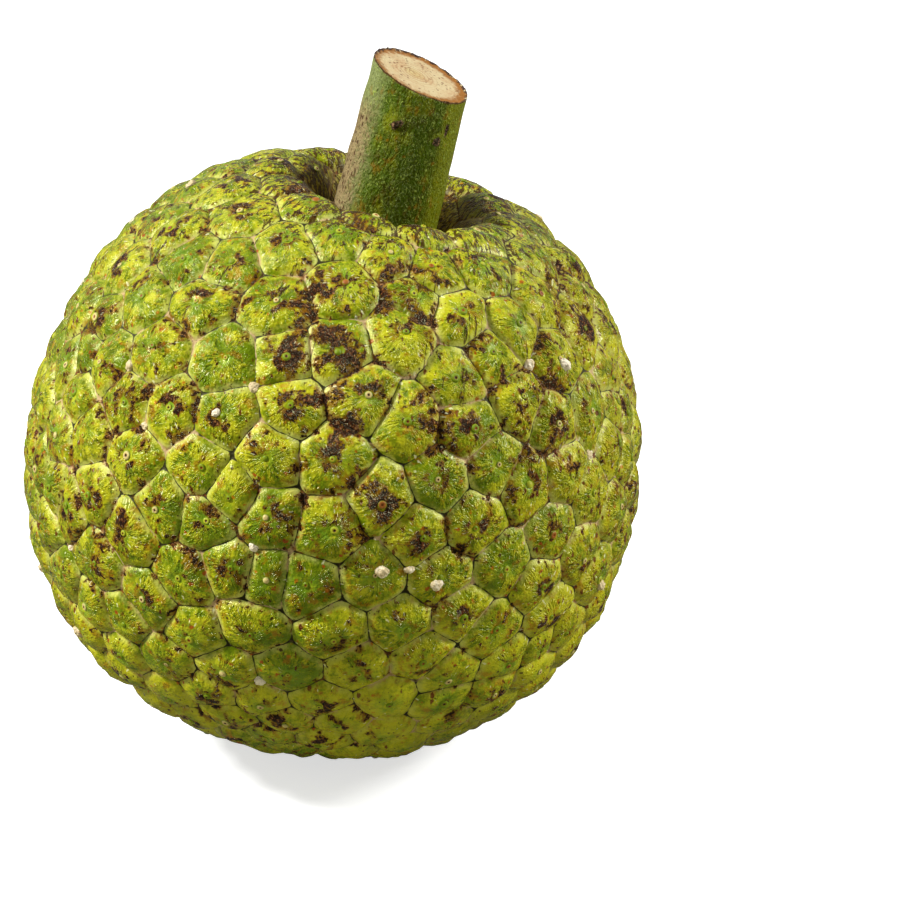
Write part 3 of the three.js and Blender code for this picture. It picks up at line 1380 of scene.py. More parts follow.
    def scabs(self, read: RindReading, flecks: Signal, calm: Signal) -> tuple[Signal, Signal]:
        """Where the rind is scarred.

        Args:
            read: The skin's reading.
            flecks: The raised flecks, from 0 to 1.
            calm: 1 low on the fruit, where scabs are rare.

        Returns:
            1 on a scab and 0 off it, and the same for a scab with the stained rind round it.
        """
        bench = read.bench
        middle = self.form.middle()
        shares = []
        for place in SCARRED_PLACES:
            point = place.point(middle, self.form.body_radius)
            away = Signal(bench, bench.vector("DISTANCE", {0: read.millimetres, 1: point}, "Value"))
            shares.append(away.rise(place.reach * 1.35, place.reach * 0.35) * place.weight)
        near = functools.reduce(Signal.at_least, shares)
        blobs = bench.noise(read.moved(3.0, 9.0, 70.0), 4.2, detail=2.0, roughness=0.6)
        clumps = bench.noise(read.moved(70.0, 3.0, 9.0), 1.5, detail=3.0, roughness=0.75)
        round_tip = read.radius.rise(0.7, 1.4) * read.radius.rise(4.6, 2.0)
        round_tip = round_tip * read.luck[0].rise(0.55, 0.66)
        at_edge = read.rim.rise(2.4, 0.3) * read.luck[2].rise(0.5, 0.9)
        level = near * 0.15 + blobs + round_tip * 0.16 + at_edge * 0.09 - calm * 0.04 - read.side * 0.03
        broken = level + (clumps - 0.5) * 0.75 + (flecks - 0.5) * 0.3
        return broken.rise(0.69, 0.74), (level + (clumps - 0.5) * 0.4).rise(0.57, 0.7)

    def pit_stain(self, read: RindReading, colour: Socket) -> tuple[Socket, Signal]:
        """Browns the wall of the pit and draws the dashes that point at the stem.

        Args:
            read: The skin's reading.
            colour: The rind's colour.

        Returns:
            The colour with its stain, and where the wall is.
        """
        bench = read.bench
        x, y, z = bench.parts(core_places(bench, self.form))
        off_core = bench.off_centre(x, y).at_least(1.0)
        rays = bench.joined(x / off_core * 34.0, y / off_core * 34.0, (off_core + z * 0.35) / 1.8)
        streaks = bench.noise(rays, 1.0, detail=3.0, roughness=0.7)
        above = z.rise(25.0, 48.0)
        in_pit = off_core.rise(27.0, 16.0) * above
        dashes = (streaks + off_core.rise(52.0, 22.0) * 0.14).rise(0.61, 0.66) * above
        stain = ((in_pit * 0.75, self.pit_brown), (dashes * 0.9, self.freckle))
        return bench.layered(colour, *stain), in_pit


def core_places(bench: Bench, form: FruitForm) -> Socket:
    """Places in the fruit's own frame, where the core is upright and the middle is zero.

    Args:
        bench: The material's bench.
        form: The fruit's form.

    Returns:
        The places, in millimetres.
    """
    back = form.standing().inverted()
    inputs = {"Vector": bench.place(), "Location": back.translation, "Rotation": back.to_euler()}
    mapping = bench.node("ShaderNodeMapping", inputs, vector_type="POINT")
    return bench.scaled(mapping.outputs[0], 1 / MM)


@dataclass
class FruitSkin:
    """The skin: the fruitlets' domed tops between their grooves, from the pit to the flat spot."""

    fruitlets: Fruitlets
    finish: RindFinish
    lift: float = 1.1 * MM
    shoulder: float = 2.9
    shoulder_power: float = 2.2
    dome: float = 0.75 * MM
    dome_reach: float = 5.5
    dimple: float = 0.4 * MM
    dimple_reach: float = 2.1
    lump: float = 0.22 * MM
    lump_size: float = 3.4 * MM
    unevenness_size: float = 9.0 * MM
    pit_calm: float = 0.5

    def sizes(self) -> dict[str, float]:
        """The sizes that the relief's tree takes."""
        return named_sizes(
            self,
            "lift",
            "shoulder",
            "shoulder_power",
            "dome",
            "dome_reach",
            "dimple",
            "dimple_reach",
            "lump",
            "lump_size",
            "unevenness_size",
            "pit_calm",
        )

    def relief_tree(self) -> Tree:
        """The geometry tree that lifts each fruitlet off its border and presses the underside flat.

        Returns:
            The tree.
        """
        bench, given = new_grower("fruitlet relief", self.sizes())
        rim = bench.named_number("rim")
        own = bench.named_number("own_share")
        place = bench.position()
        short = 1.0 - (rim / given["Shoulder"]).at_most(1.0)
        swell = 1.0 - short ** given["Shoulder Power"]
        uneven = bench.noise(place, given["Unevenness Size"], detail=1.0) + 0.5
        dome = rim.rise(0.0, given["Dome Reach"])
        dimple = bench.named_number("off_tip").rise(given["Dimple Reach"], 0.7)
        lumps = bench.noise(place, given["Lump Size"], detail=1.0) - 0.5
        height = (
            given["Lift"] * swell * uneven * (own * 0.3 + 0.85)
            + given["Dome"] * dome * (own * 0.8 + 0.6)
            - given["Dimple"] * dimple
            + lumps * 2.0 * given["Lump"] * swell
        ) * (1.0 - bench.named_number("pit") * given["Pit Calm"])
        lifted = bench.swollen(given["Geometry"], height)
        x, y, z = bench.parts(bench.position())
        pressed = bench.moved(lifted, bench.joined(x, y, z.at_least(0.0)))
        return finish_tree(bench, pressed, given["Material"])

    def build(self) -> bpy.types.Object:
        """Builds and dresses the skin in place of the plain fruit.

        Returns:
            The skin.
        """
        skin = SkinMesh(self.fruitlets).piece("fruit_skin")
        grow(skin, self.relief_tree(), self.sizes() | {"Material": self.finish.material()})
        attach(skin, BODY)
        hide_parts("fruit")
        return skin


# ---- What sits on the skin ----


@dataclass
class Perches:
    """Places on the finished skin where small pieces sit, each with the way it faces and its sizes."""

    skin: bpy.types.Object
    fruitlets: Fruitlets
    points: list[Vector] = field(default_factory=list)
    facings: list[Vector] = field(default_factory=list)
    sizes: list[float] = field(default_factory=list)
    tints: list[float] = field(default_factory=list)
    turns: list[float] = field(default_factory=list)

    def __post_init__(self) -> None:
        """Readies the skin for finding where a line from the fruit's middle leaves it."""
        self.surface = BVHTree.FromObject(self.skin, bpy.context.evaluated_depsgraph_get())

    def covered(self, direction: np.ndarray, room: float) -> bool:
        """Whether a direction is nearer the core, on the stem's side, than the room kept free there."""
        off_core = math.hypot(direction[0], direction[1]) * self.fruitlets.form.body_radius
        return direction[2] > 0 and off_core < room

    def add(
        self,
        direction: np.ndarray,
        index: int,
        seeds: tuple[int, int, int],
        sizes: tuple[float, float],
        rarity: float = 1.0,
    ) -> None:
        """Adds a place, with a radius, a tint and a turn drawn for it.

        Args:
            direction: Where it is from the fruit's middle, in the fruit's own frame.
            index: Its own number, which its draws start from.
            seeds: The seeds of its radius, its tint and its turn about its own axis.
            sizes: The smallest and largest radius of the small piece.
            rarity: More than 1 makes large radii rarer.
        """
        form = self.fruitlets.form
        way = Vector(form.turned(direction))
        point, facing, _, _ = self.surface.ray_cast(form.middle() + way * 2 * form.body_radius, -way)
        girth, tint, turn = (float(scatter(index, seed)) for seed in seeds)
        smallest, largest = sizes
        self.points.append(point)
        self.facings.append(facing)
        self.sizes.append(smallest + (largest - smallest) * girth**rarity)
        self.tints.append(tint)
        self.turns.append(turn * math.tau)

    def piece(self, name: str) -> bpy.types.Object:
        """Makes a mesh of loose points with what a geometry tree needs to know of each.

        Args:
            name: The piece's name.

        Returns:
            The piece.
        """
        made = new_piece(name, np.array(self.points), [])
        note(made, "POINT", facing=self.facings, size=self.sizes, tint=self.tints, turn=self.turns)
        return made


def perched(bench: Bench, points: Socket, shape: Socket, **pick: object) -> Socket:
    """Sets a shape on each point of a geometry tree.

    Args:
        bench: The tree's bench.
        points: The points, which know their facing, size and turn.
        shape: What is set on them, a unit in radius and upright.
        **pick: Which of several shapes each point takes, if there are several.

    Returns:
        The instances.
    """
    turn = {"Axis": (0.0, 0.0, 1.0), "Angle": bench.named("turn")}
    turned = bench.node("FunctionNodeAxisAngleToRotation", turn)
    facing = bench.node(
        "FunctionNodeAlignRotationToVector",
        {"Rotation": turned.outputs[0], "Vector": bench.named("facing", "FLOAT_VECTOR")},
        axis="Z",
    )
    inputs = {
        "Points": points,
        "Instance": shape,
        "Rotation": facing.outputs[0],
        "Scale": bench.scaled((1.0, 1.0, 1.0), bench.named_number("size")),
    }
    if pick:
        inputs |= {"Pick Instance": True, "Instance Index": pick["index"]}
    return bench.node("GeometryNodeInstanceOnPoints", inputs).outputs[0]


def smooth_faces(bench: Bench, geometry: Socket) -> Socket:
    """The same faces, shaded smoothly."""
    return bench.node("GeometryNodeSetShadeSmooth", {0: geometry}).outputs[0]


@dataclass(frozen=True)
class TipFinish:
    """Tan, green or reddish nubs with a brown middle."""

    effects: SharedEffects
    tan: Colour = paint(204, 188, 120)
    green: Colour = paint(112, 136, 14)
    bright: Colour = paint(164, 172, 40)
    red: Colour = paint(150, 92, 36)
    brown: Colour = paint(134, 70, 22)
    pore: Colour = paint(30, 14, 6)
    rust: Colour = paint(128, 66, 8)
    shine: float = 0.2

    def material(self) -> bpy.types.Material:
        """Builds the tips' material.

        Returns:
            The material.
        """
        surface = Surface.new("fruitlet_tip")
        bench = surface.bench
        millimetres = bench.millimetres()
        off_axis = bench.read("off_axis")
        pored = bench.read("pored")
        tint = bench.read("tint")
        grit = bench.noise(millimetres, 0.5, detail=2.0)
        rusty = bench.math("SINE", tint * 40.0).rise(0.2, 0.4)
        colour = bench.layered(
            self.tan,
            (tint.rise(0.28, 0.3), self.green),
            (tint.rise(0.66, 0.68), self.bright),
            (tint.rise(0.92, 0.94), self.red),
            ((grit - 0.4).at_least(0.0), self.brown),
            (off_axis.rise(0.74, 0.98) * 0.8, self.green),
            (pored * off_axis.rise(0.55, 0.38) * 0.9, self.brown),
            (pored * off_axis.rise(0.46, 0.3), bench.blend(rusty, self.pore, self.rust)),
        )
        grain = self.effects.pebbled(bench, millimetres, 0.4, 0.05)
        return surface.finish(colour, grit * 0.3 + 0.25, grain, self.shine)


@dataclass
class FruitletTips:
    """The dried end of each flower: a small nub at the middle of a fruitlet, with a pore or without."""

    fruitlets: Fruitlets
    finish: TipFinish
    smallest: float = 0.65 * MM
    largest: float = 1.15 * MM
    sides: int = 12
    rings: int = 8
    height: float = 0.6
    crater: float = 0.5
    stem_room: float = 15 * MM
    tucked: float = 0.3
    rarity: float = 1.5
    plain_turn: float = 1.1

    def nub(self, bench: Bench, height: Signal, crater: Signal | float, pored: float) -> Socket:
        """One kind of nub, a unit in radius.

        Args:
            bench: The tree's bench.
            height: How high it is.
            crater: How deep its middle is sunk.
            pored: 1 if it has a pore.

        Returns:
            Its geometry.
        """
        sizes = {"Segments": self.sides, "Rings": self.rings, "Radius": 1.0}
        marked = bench.node("GeometryNodeMeshUVSphere", sizes).outputs["Mesh"]
        x, y, z = bench.parts(bench.position())
        off_axis = bench.off_centre(x, y)
        for name, value in (("off_axis", off_axis), ("pored", pored)):
            values = {"Geometry": marked, "Name": name, "Value": value}
            marked = bench.node("GeometryNodeStoreNamedAttribute", values, data_type="FLOAT").outputs[0]
        pinch = off_axis.at_least(0.001) ** 0.4
        tall = z.at_least(0.0) * height + z.at_most(0.0) * self.tucked
        sunk = off_axis.rise(0.6, 0.1) * crater
        return bench.moved(marked, bench.joined(x * pinch, y * pinch, tall - sunk))

    def tree(self) -> Tree:
        """The geometry tree that sets a nub on each point.

        Returns:
            The tree.
        """
        bench, given = new_grower("fruitlet tips", named_sizes(self, "height", "crater"))
        kinds = bench.node("GeometryNodeGeometryToInstance")
        for crater, pored in ((given["Crater"], 1.0), (0.0, 0.0)):
            bench.feed(kinds.inputs[0], self.nub(bench, given["Height"], crater, pored))
        choice = bench.math("GREATER_THAN", bench.named_number("turn"), self.plain_turn)
        set_down = perched(bench, given["Geometry"], kinds.outputs[0], index=choice)
        return finish_tree(bench, smooth_faces(bench, set_down), given["Material"])

    def build(self, skin: bpy.types.Object) -> bpy.types.Object:
        """Sets a nub on every fruitlet that the stem doesn't cover.

        Args:
            skin: The finished skin.

        Returns:
            The nubs.
        """
        perches = Perches(skin, self.fruitlets)
        for index, centre in enumerate(self.fruitlets.centres):
            if not perches.covered(centre, self.stem_room):
                direction = self.fruitlets.raised(index, self.fruitlets.tips[index])
                perches.add(direction, index, TIP_SEEDS, (self.smallest, self.largest), self.rarity)
        tips = perches.piece("fruitlet_tips")
        sizes = named_sizes(self, "height", "crater")
        grow(tips, self.tree(), sizes | {"Material": self.finish.material()})
        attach(tips, BODY)
        return tips


@dataclass(frozen=True)
class LatexFinish:
    """Cream latex, pink or brown where it has dried hard."""

    effects: SharedEffects
    cream: Colour = paint(236, 224, 196)
    pink: Colour = paint(206, 186, 140)
    brown: Colour = paint(150, 104, 70)
    shine: float = 0.4

    def material(self) -> bpy.types.Material:
        """Builds the latex's material.

        Returns:
            The material.
        """
        surface = Surface.new("dried_latex")
        bench = surface.bench
        millimetres = bench.millimetres()
        sizes = {"Size": 1.6, "Balance": bench.read("tint") * 0.5 + 0.2, "Softness": 0.08}
        clouded = self.effects.clouded(bench, millimetres, self.cream, self.pink, **sizes)
        crust = bench.noise(millimetres, 0.8, detail=3.0, roughness=0.7)
        colour = bench.blend(crust.rise(0.58, 0.7) * 0.7, clouded, self.brown)
        grain = self.effects.pebbled(bench, millimetres, 0.5, 0.12)
        return surface.finish(colour, crust * 0.4 + 0.3, grain, self.shine)


@dataclass
class LatexDrops:
    """Drops of latex that bled from the rind and dried on it."""

    fruitlets: Fruitlets
    finish: LatexFinish
    corner_share: float = 0.035
    fruitlet_share: float = 0.05
    beside_tip: float = 1.7
    smallest: float = 0.7 * MM
    largest: float = 1.5 * MM
    flatness: float = 0.7
    crumble: float = 0.8 * MM
    crumble_size: float = 1.5 * MM
    stem_room: float = 24 * MM

    def sizes(self) -> dict[str, float]:
        """The sizes that the drops' tree takes."""
        return named_sizes(self, "flatness", "crumble", "crumble_size")

    def tree(self) -> Tree:
        """The geometry tree that sets a crumbled drop on each point.

        Returns:
            The tree.
        """
        bench, given = new_grower("latex drops", self.sizes())
        ball = bench.node("GeometryNodeMeshIcoSphere", {"Radius": 1.0, "Subdivisions": 4})
        x, y, z = bench.parts(bench.position())
        drop = bench.moved(ball.outputs["Mesh"], bench.joined(x, y, z * given["Flatness"]))
        set_down = perched(bench, given["Geometry"], smooth_faces(bench, drop))
        real = bench.node("GeometryNodeRealizeInstances", {"Geometry": set_down})
        uneven = bench.noise(bench.position(), given["Crumble Size"], detail=2.0, roughness=0.7) - 0.5
        crumbled = bench.swollen(real.outputs[0], uneven * 2.0 * given["Crumble"])
        return finish_tree(bench, crumbled, given["Material"])

    def directions(self, place: Place) -> list[np.ndarray]:
        """Finds where the drops of one kind are.

        Args:
            place: The kind.

        Returns:
            Their directions from the fruit's middle.
        """
        fruitlets = self.fruitlets
        if place is Place.CORNER:
            luck = scatter(np.arange(len(fruitlets.corners)), CORNER_DROP_SEED)
            return list(fruitlets.corners[luck < self.corner_share])
        found = []
        luck = scatter(np.arange(len(fruitlets.centres)), TIP_DROP_SEED)
        for index in np.flatnonzero(luck < self.fruitlet_share):
            turn = float(scatter(index, TIP_DROP_TURN_SEED)) * math.tau
            aside = np.array((math.cos(turn), math.sin(turn))) * self.beside_tip
            found.append(fruitlets.raised(index, fruitlets.tips[index] + aside))
        return found

    def build(self, skin: bpy.types.Object) -> bpy.types.Object:
        """Sets the drops on the skin.

        Args:
            skin: The finished skin.

        Returns:
            The drops.
        """
        perches = Perches(skin, self.fruitlets)
        every = [direction for place in Place for direction in self.directions(place)]
        for index, direction in enumerate(every):
            if not perches.covered(direction, self.stem_room):
                perches.add(direction, index, DROP_SEEDS, (self.smallest, self.largest))
        drops = perches.piece("latex_drops")
        grow(drops, self.tree(), self.sizes() | {"Material": self.finish.material()})
        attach(drops, BODY)
        return drops


# ---- The stem ----


@dataclass(frozen=True)
class StemScar:
    """A mark where a bract or a bud broke off the stem."""

    height: float
    turn: float
    half_height: float
    half_width: float
    swell: float

    def nearness(self, heights: np.ndarray, turns: np.ndarray, radius: float) -> np.ndarray:
        """1 at the mark's middle, falling to 0 off it.

        Args:
            heights: Heights above the fruit's middle.
            turns: Angles round the stem.
            radius: The stem's radius there.

        Returns:
            The nearness of each place.
        """
        aside = (turns - self.turn + math.pi) % math.tau - math.pi
        up = (heights - self.height) / self.half_height
        return np.exp(-((aside * radius / self.half_width) ** 2) - up**2)


@dataclass(frozen=True)
class BarkFinish:
    """Deep green bark with pale flecks that are partly painted glints, orange dots and a tan corky strip
    down one side, with painted highlight down its left side and painted rim light down its right.
    """

    effects: SharedEffects
    form: FruitForm
    green: Colour = paint(70, 92, 2)
    olive: Colour = paint(66, 62, 2)
    furrow: Colour = paint(44, 56, 1)
    leaf: Colour = paint(116, 120, 4)
    # Pale green of the stem's left side: painted highlight
    pale_green_highlight: Colour = paint(134, 142, 86)
    tan: Colour = paint(158, 134, 94)
    speck: Colour = paint(72, 30, 16)
    pale_fleck_and_glint: Colour = paint(152, 170, 70)
    orange: Colour = paint(146, 92, 8)
    scar: Colour = paint(46, 26, 18)
    scar_light_and_glint: Colour = paint(150, 116, 84)
    burnt: Colour = paint(76, 44, 18)
    tan_turn: float = math.radians(-170)
    tan_low: float = 58.0
    tan_high: float = 86.0
    rim_light_turn: float = math.radians(-12)
    shine: float = 0.2
    shine_tint: Colour = (0.9, 1.0, 0.5)

    def material(self) -> bpy.types.Material:
        """Builds the bark's material.

        Returns:
            The material.
        """
        surface = Surface.new("stem_bark")
        bench = surface.bench
        core = core_places(bench, self.form)
        x, y, z = bench.parts(core)
        grain_place = bench.joined(x, y, z * 0.6)
        sizes = {"Size": 5.0, "Balance": 0.56, "Softness": 0.14}
        clouded = self.effects.clouded(bench, grain_place, self.olive, self.green, **sizes)
        ragged = bench.noise(grain_place, 2.2, detail=4.0, roughness=0.7) - 0.5
        leafy = bench.noise(bench.shifted(grain_place, 4.0, 9.0, 2.0), 3.4, detail=3.0)
        dashes = bench.noise(grain_place, 0.62, detail=2.0, distortion=1.6)
        flecks = dashes.rise(0.55, 0.66)

        turn = bench.math("ARCTAN2", y, x)
        # Where the stem's right side is painted lighter: painted rim light
        right = self.facing(bench, turn, self.rim_light_turn).rise(0.62, 0.98)
        left = self.facing(bench, turn, self.tan_turn) + ragged * 0.3 + (dashes - 0.5) * 0.5
        along = (z + ragged * 6.0).rise(self.tan_low - 2.0, self.tan_low + 1.5)
        along = along * (z + ragged * 8.0).rise(self.tan_high + 5.0, self.tan_high - 3.0)
        tan = left.rise(0.74, 0.98) * along

        dots = self.effects.strewn(bench, bench.shifted(core, 5.0, 5.0, 5.0), 2.2, 0.5, 0.4)
        rust = bench.noise(bench.shifted(grain_place, 9.0, 1.0, 5.0), 2.6, detail=3.0)
        specks = self.effects.strewn(bench, grain_place, 0.8, 0.36, 0.9)
        crumbs = bench.noise(core, 0.7, detail=3.0, roughness=0.75)
        scar = bench.read("scar")
        scarred = (scar + (crumbs - 0.5) * 1.4).rise(0.34, 0.5) * scar.rise(0.02, 0.2)
        # Pale brown in the scars: partly lighter bark, partly painted glints
        scar_colour = bench.blend(crumbs.rise(0.52, 0.62), self.scar, self.scar_light_and_glint)
        colour = bench.layered(
            clouded,
            (leafy.rise(0.5, 0.68) * 0.8, self.leaf),
            # Leaf colour down the right side: painted rim light
            ((right + ragged * 0.6).rise(0.1, 0.8) * 0.85, self.leaf),
            # Pale green down the left side: painted highlight where the key light falls
            (left.rise(0.64, 0.98), self.pale_green_highlight),
            (tan * 0.9, self.tan),
            (dashes.rise(0.46, 0.36) * 0.6, self.furrow),
            (dots.at_least(rust.rise(0.58, 0.7)) * (1.0 - tan) * 0.42, self.orange),
            # Pale flecks on the bark: partly lenticels, partly painted glints
            (flecks * (1.0 - tan) * 0.75, self.pale_fleck_and_glint),
            (specks * (tan * 0.9 + 0.1), self.speck),
            (scarred, scar_colour),
            ((bench.read("below_cut") + ragged * 1.2).rise(0.55, 0.15), self.burnt),
        )
        height = (
            self.effects.pebbled(bench, grain_place, 0.55, 0.24)
            + flecks * 0.26
            + specks * tan * -0.14
            + ragged * 0.3
            + scarred * crumbs * 0.9
        )
        return surface.finish(colour, ragged * 0.3 + 0.42, height, self.shine, self.shine_tint)

    @staticmethod
    def facing(bench: Bench, turn: Signal, middle: float) -> Signal:
        """1 where the bark faces one way round the stem, 0 square to it and -1 behind."""
        return bench.math("COSINE", turn - middle)


@dataclass(frozen=True)
class CutWoodFinish:
    """Cream wood with brown pores and faint rings, browned towards its rim."""

    effects: SharedEffects
    form: FruitForm
    cream: Colour = paint(194, 178, 136)
    pink: Colour = paint(180, 148, 106)
    pith: Colour = paint(182, 158, 98)
    pore: Colour = paint(112, 68, 30)
    golden: Colour = paint(142, 90, 24)
    burnt: Colour = paint(48, 24, 10)
    pith_aside: float = 1.5
    shine: float = 0.3

    def material(self) -> bpy.types.Material:
        """Builds the cut wood's material.

        Returns:
            The material.
        """
        surface = Surface.new("stem_cut")
        bench = surface.bench
        core = core_places(bench, self.form)
        x, y, _ = bench.parts(core)
        share = bench.read("cut_share")
        sizes = {"Size": 4.0, "Balance": 0.48, "Softness": 0.16}
        clouded = self.effects.clouded(bench, core, self.cream, self.pink, **sizes)
        ragged = bench.noise(core, 1.5, detail=4.0, roughness=0.7) - 0.5
        off_pith = bench.off_centre(x + self.pith_aside, y)
        rings = bench.math("SINE", off_pith * 6.0 + ragged * 5.0).rise(0.1, 1.0)
        pores = self.effects.strewn(bench, core, 1.0, 0.36, 0.6)
        lopsided = (x / 11.0 + 1.0) * 0.05 + 0.04
        chips = bench.noise(core, 0.9, detail=3.0, roughness=0.7).rise(0.56, 0.62)
        colour = bench.layered(
            clouded,
            (off_pith.rise(3.4, 1.0) * 0.6, self.pith),
            (rings * off_pith.rise(7.5, 3.0) * 0.4, self.golden),
            (pores * 0.8, self.pore),
            ((share + lopsided + ragged * 0.36).rise(0.84, 1.0), self.golden),
            ((share + ragged * 0.2).rise(0.94, 0.985), self.burnt),
            # Cream chips along the cut's rim: partly chipped wood, partly painted highlight on the edge
            (chips * share.rise(0.93, 0.97) * 0.85, self.cream),
        )
        height = self.effects.pebbled(bench, core, 0.4, 0.1) + pores * -0.15 + rings * 0.03
        return surface.finish(colour, ragged * 0.2 + 0.7, height, self.shine)


@dataclass
class CutStem:
    """The thick stem: a slightly tapered stalk that flares into the pit, cut off at a slant."""

    form: FruitForm
    bark: BarkFinish
    wood: CutWoodFinish
    foot: float = 47 * MM
    top: float = 95.6 * MM
    base_radius: float = 12.6 * MM
    top_radius: float = 11.3 * MM
    foot_aside: float = -0.9 * MM
    flare: float = 0.8 * MM
    flare_height: float = 16 * MM
    cut_tilt: float = math.radians(12)
    cut_facing: float = math.radians(8)
    columns: int = 128
    rings: int = 72
    out_of_round: float = 0.22 * MM
    lump: float = 0.25 * MM
    lump_size: float = 6 * MM
    rim_raggedness: float = 0.3 * MM
    rim_chip: float = 1.1 * MM
    face_sunk: float = 0.35 * MM
    face_lump: float = 0.1 * MM
    face_lump_size: float = 2.4 * MM
    cut_shares: tuple[float, ...] = (0.985, 0.95, 0.88, 0.74, 0.56, 0.38, 0.18)
    scars: tuple[StemScar, ...] = (
        StemScar(85.5 * MM, math.radians(-108), 1.0 * MM, 1.0 * MM, 0.8 * MM),
        StemScar(86.4 * MM, math.radians(-103), 0.6 * MM, 0.9 * MM, 0.5 * MM),
        StemScar(86.3 * MM, math.radians(-44), 1.7 * MM, 0.6 * MM, -0.25 * MM),
        StemScar(83.5 * MM, math.radians(-56), 1.2 * MM, 1.0 * MM, 0.35 * MM),
        StemScar(74.0 * MM, math.radians(70), 1.5 * MM, 1.2 * MM, 0.6 * MM),
    )

    def radius(self, heights: np.ndarray, turns: np.ndarray) -> np.ndarray:
        """The stem's radius.

        Args:
            heights: Heights above the fruit's middle.
            turns: Angles round the stem.

        Returns:
            The radius at each.
        """
        above_foot = heights - self.foot
        share = above_foot / (self.top - self.foot)
        plain = self.base_radius * (1 - share) + self.top_radius * share
        flare = self.flare * np.exp(-((above_foot / self.flare_height) ** 2))
        plain += flare * (0.5 - 0.5 * np.cos(turns))
        plain += self.foot_aside * (1 - share) * np.cos(turns)
        plain += self.out_of_round * (0.6 * np.sin(2 * turns + 1) + 0.4 * np.sin(3 * turns + 4))
        for scar in self.scars:
            plain += scar.swell * scar.nearness(heights, turns, self.top_radius)
        return plain

    def cut_height(self, x: np.ndarray, y: np.ndarray) -> np.ndarray:
        """The slanting cut.

        Args:
            x: Places off the core.
            y: The same.

        Returns:
            Its height above the fruit's middle at each place.
        """
        across = math.sin(self.cut_tilt) * math.cos(self.cut_facing)
        along = -math.sin(self.cut_facing)
        up = math.cos(self.cut_tilt) * math.cos(self.cut_facing)
        return self.top - (across * x + along * y) / up

    @staticmethod
    def uneven(points: np.ndarray, size: float) -> np.ndarray:
        """Smooth noise from -1 to 1 at points."""
        return np.array([noise.noise(Vector(point) / size) for point in points])

    def side(self, turns: np.ndarray) -> list[np.ndarray]:
        """The bark's rings of vertices.

        Args:
            turns: The angle of each vertex of a ring.

        Returns:
            The rings from the foot to the cut.
        """
        outward = np.stack([np.cos(turns), np.sin(turns), np.zeros_like(turns)], axis=1)
        rim = outward * self.top_radius
        chips = self.rim_raggedness * self.uneven(rim, self.rim_chip)
        height = self.cut_height(rim[:, 0], rim[:, 1]) + chips
        rings = []
        for level in np.linspace(0, 1, self.rings):
            heights = self.foot + (height - self.foot) * level
            ring = outward * self.radius(heights, turns)[:, None]
            ring[:, 2] = heights
            lumps = self.lump * self.uneven(ring, self.lump_size)
            rings.append(ring + outward * lumps[:, None])
        return rings

    def cut_face(self, rim: np.ndarray) -> list[np.ndarray]:
        """The cut's rings of vertices.

        Args:
            rim: The bark's last ring.

        Returns:
            The rings from just inside the rim towards the middle.
        """
        rings = []
        for share in self.cut_shares:
            ring = rim * (share, share, 0.0)
            level = self.cut_height(ring[:, 0], ring[:, 1])
            keep = max(0.0, 1 - (1 - share) / (1 - self.cut_shares[1]))
            ring[:, 2] = level * (1 - keep) + rim[:, 2] * keep - self.face_sunk * (1 - keep)
            ring[:, 2] += self.face_lump * self.uneven(ring, self.face_lump_size)
            rings.append(ring)
        return rings

    def faces(self, rows: int) -> list[tuple[int, ...]]:
        """The faces between the rings, and those that close the cut and the foot.

        Args:
            rows: How many rings there are.

        Returns:
            The vertex numbers of each face.
        """
        after = [(j, (j + 1) % self.columns) for j in range(self.columns)]
        faces = []
        for low in range(0, (rows - 1) * self.columns, self.columns):
            high = low + self.columns
            faces += [(low + j, low + k, high + k, high + j) for j, k in after]
        last = (rows - 1) * self.columns
        cut_middle = rows * self.columns
        faces += [(last + j, last + k, cut_middle) for j, k in after]
        return faces + [(k, j, cut_middle + 1) for j, k in after]

    def build(self) -> bpy.types.Object:
        """Builds and dresses the stem in place of the plain one.

        Returns:
            The stem.
        """
        turns = np.arange(self.columns) * math.tau / self.columns
        side = self.side(turns)
        cut = self.cut_face(side[-1])
        ends = np.array([(0, 0, self.cut_height(0, 0) - self.face_sunk), (0, 0, self.foot)])
        points = np.concatenate([*side, *cut, ends])
        stem = new_piece("cut_stem", self.form.stood(points), self.faces(len(side) + len(cut)))
        bark_faces = (len(side) - 1) * self.columns
        wood_faces = (len(cut) + 1) * self.columns
        finishes = [0] * bark_faces + [1] * wood_faces + [0] * self.columns
        stem.data.materials.append(self.bark.material())
        stem.data.materials.append(self.wood.material())
        stem.data.polygons.foreach_set("material_index", finishes)
        self.note_marks(stem, points, len(side), len(cut), turns)
        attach(stem, BODY)
        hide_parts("stem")
        return stem

    def note_marks(
        self,
        stem: bpy.types.Object,
        points: np.ndarray,
        side_rings: int,
        cut_rings: int,
        turns: np.ndarray,
    ) -> None:
        """Stores how near each vertex is to a scar, to the cut above it and to the cut's rim.

        Args:
            stem: The stem.
            points: Its vertices in the fruit's own frame.
            side_rings: How many rings the bark has.
            cut_rings: How many rings the cut has inside its rim.
            turns: The angle of each vertex of a ring.
        """
        every_turn = np.concatenate([np.tile(turns, side_rings + cut_rings), [0, 0]])
        scars = [scar.nearness(points[:, 2], every_turn, self.top_radius) for scar in self.scars]
        below_cut = (self.cut_height(points[:, 0], points[:, 1]) - points[:, 2]) / MM
        shares = np.repeat(self.cut_shares, self.columns)
        cut_share = np.concatenate([np.ones(side_rings * self.columns), shares, [0, 1]])
        note(stem, "POINT", scar=np.max(scars, axis=0), below_cut=below_cut, cut_share=cut_share)


# ---- The studio ----


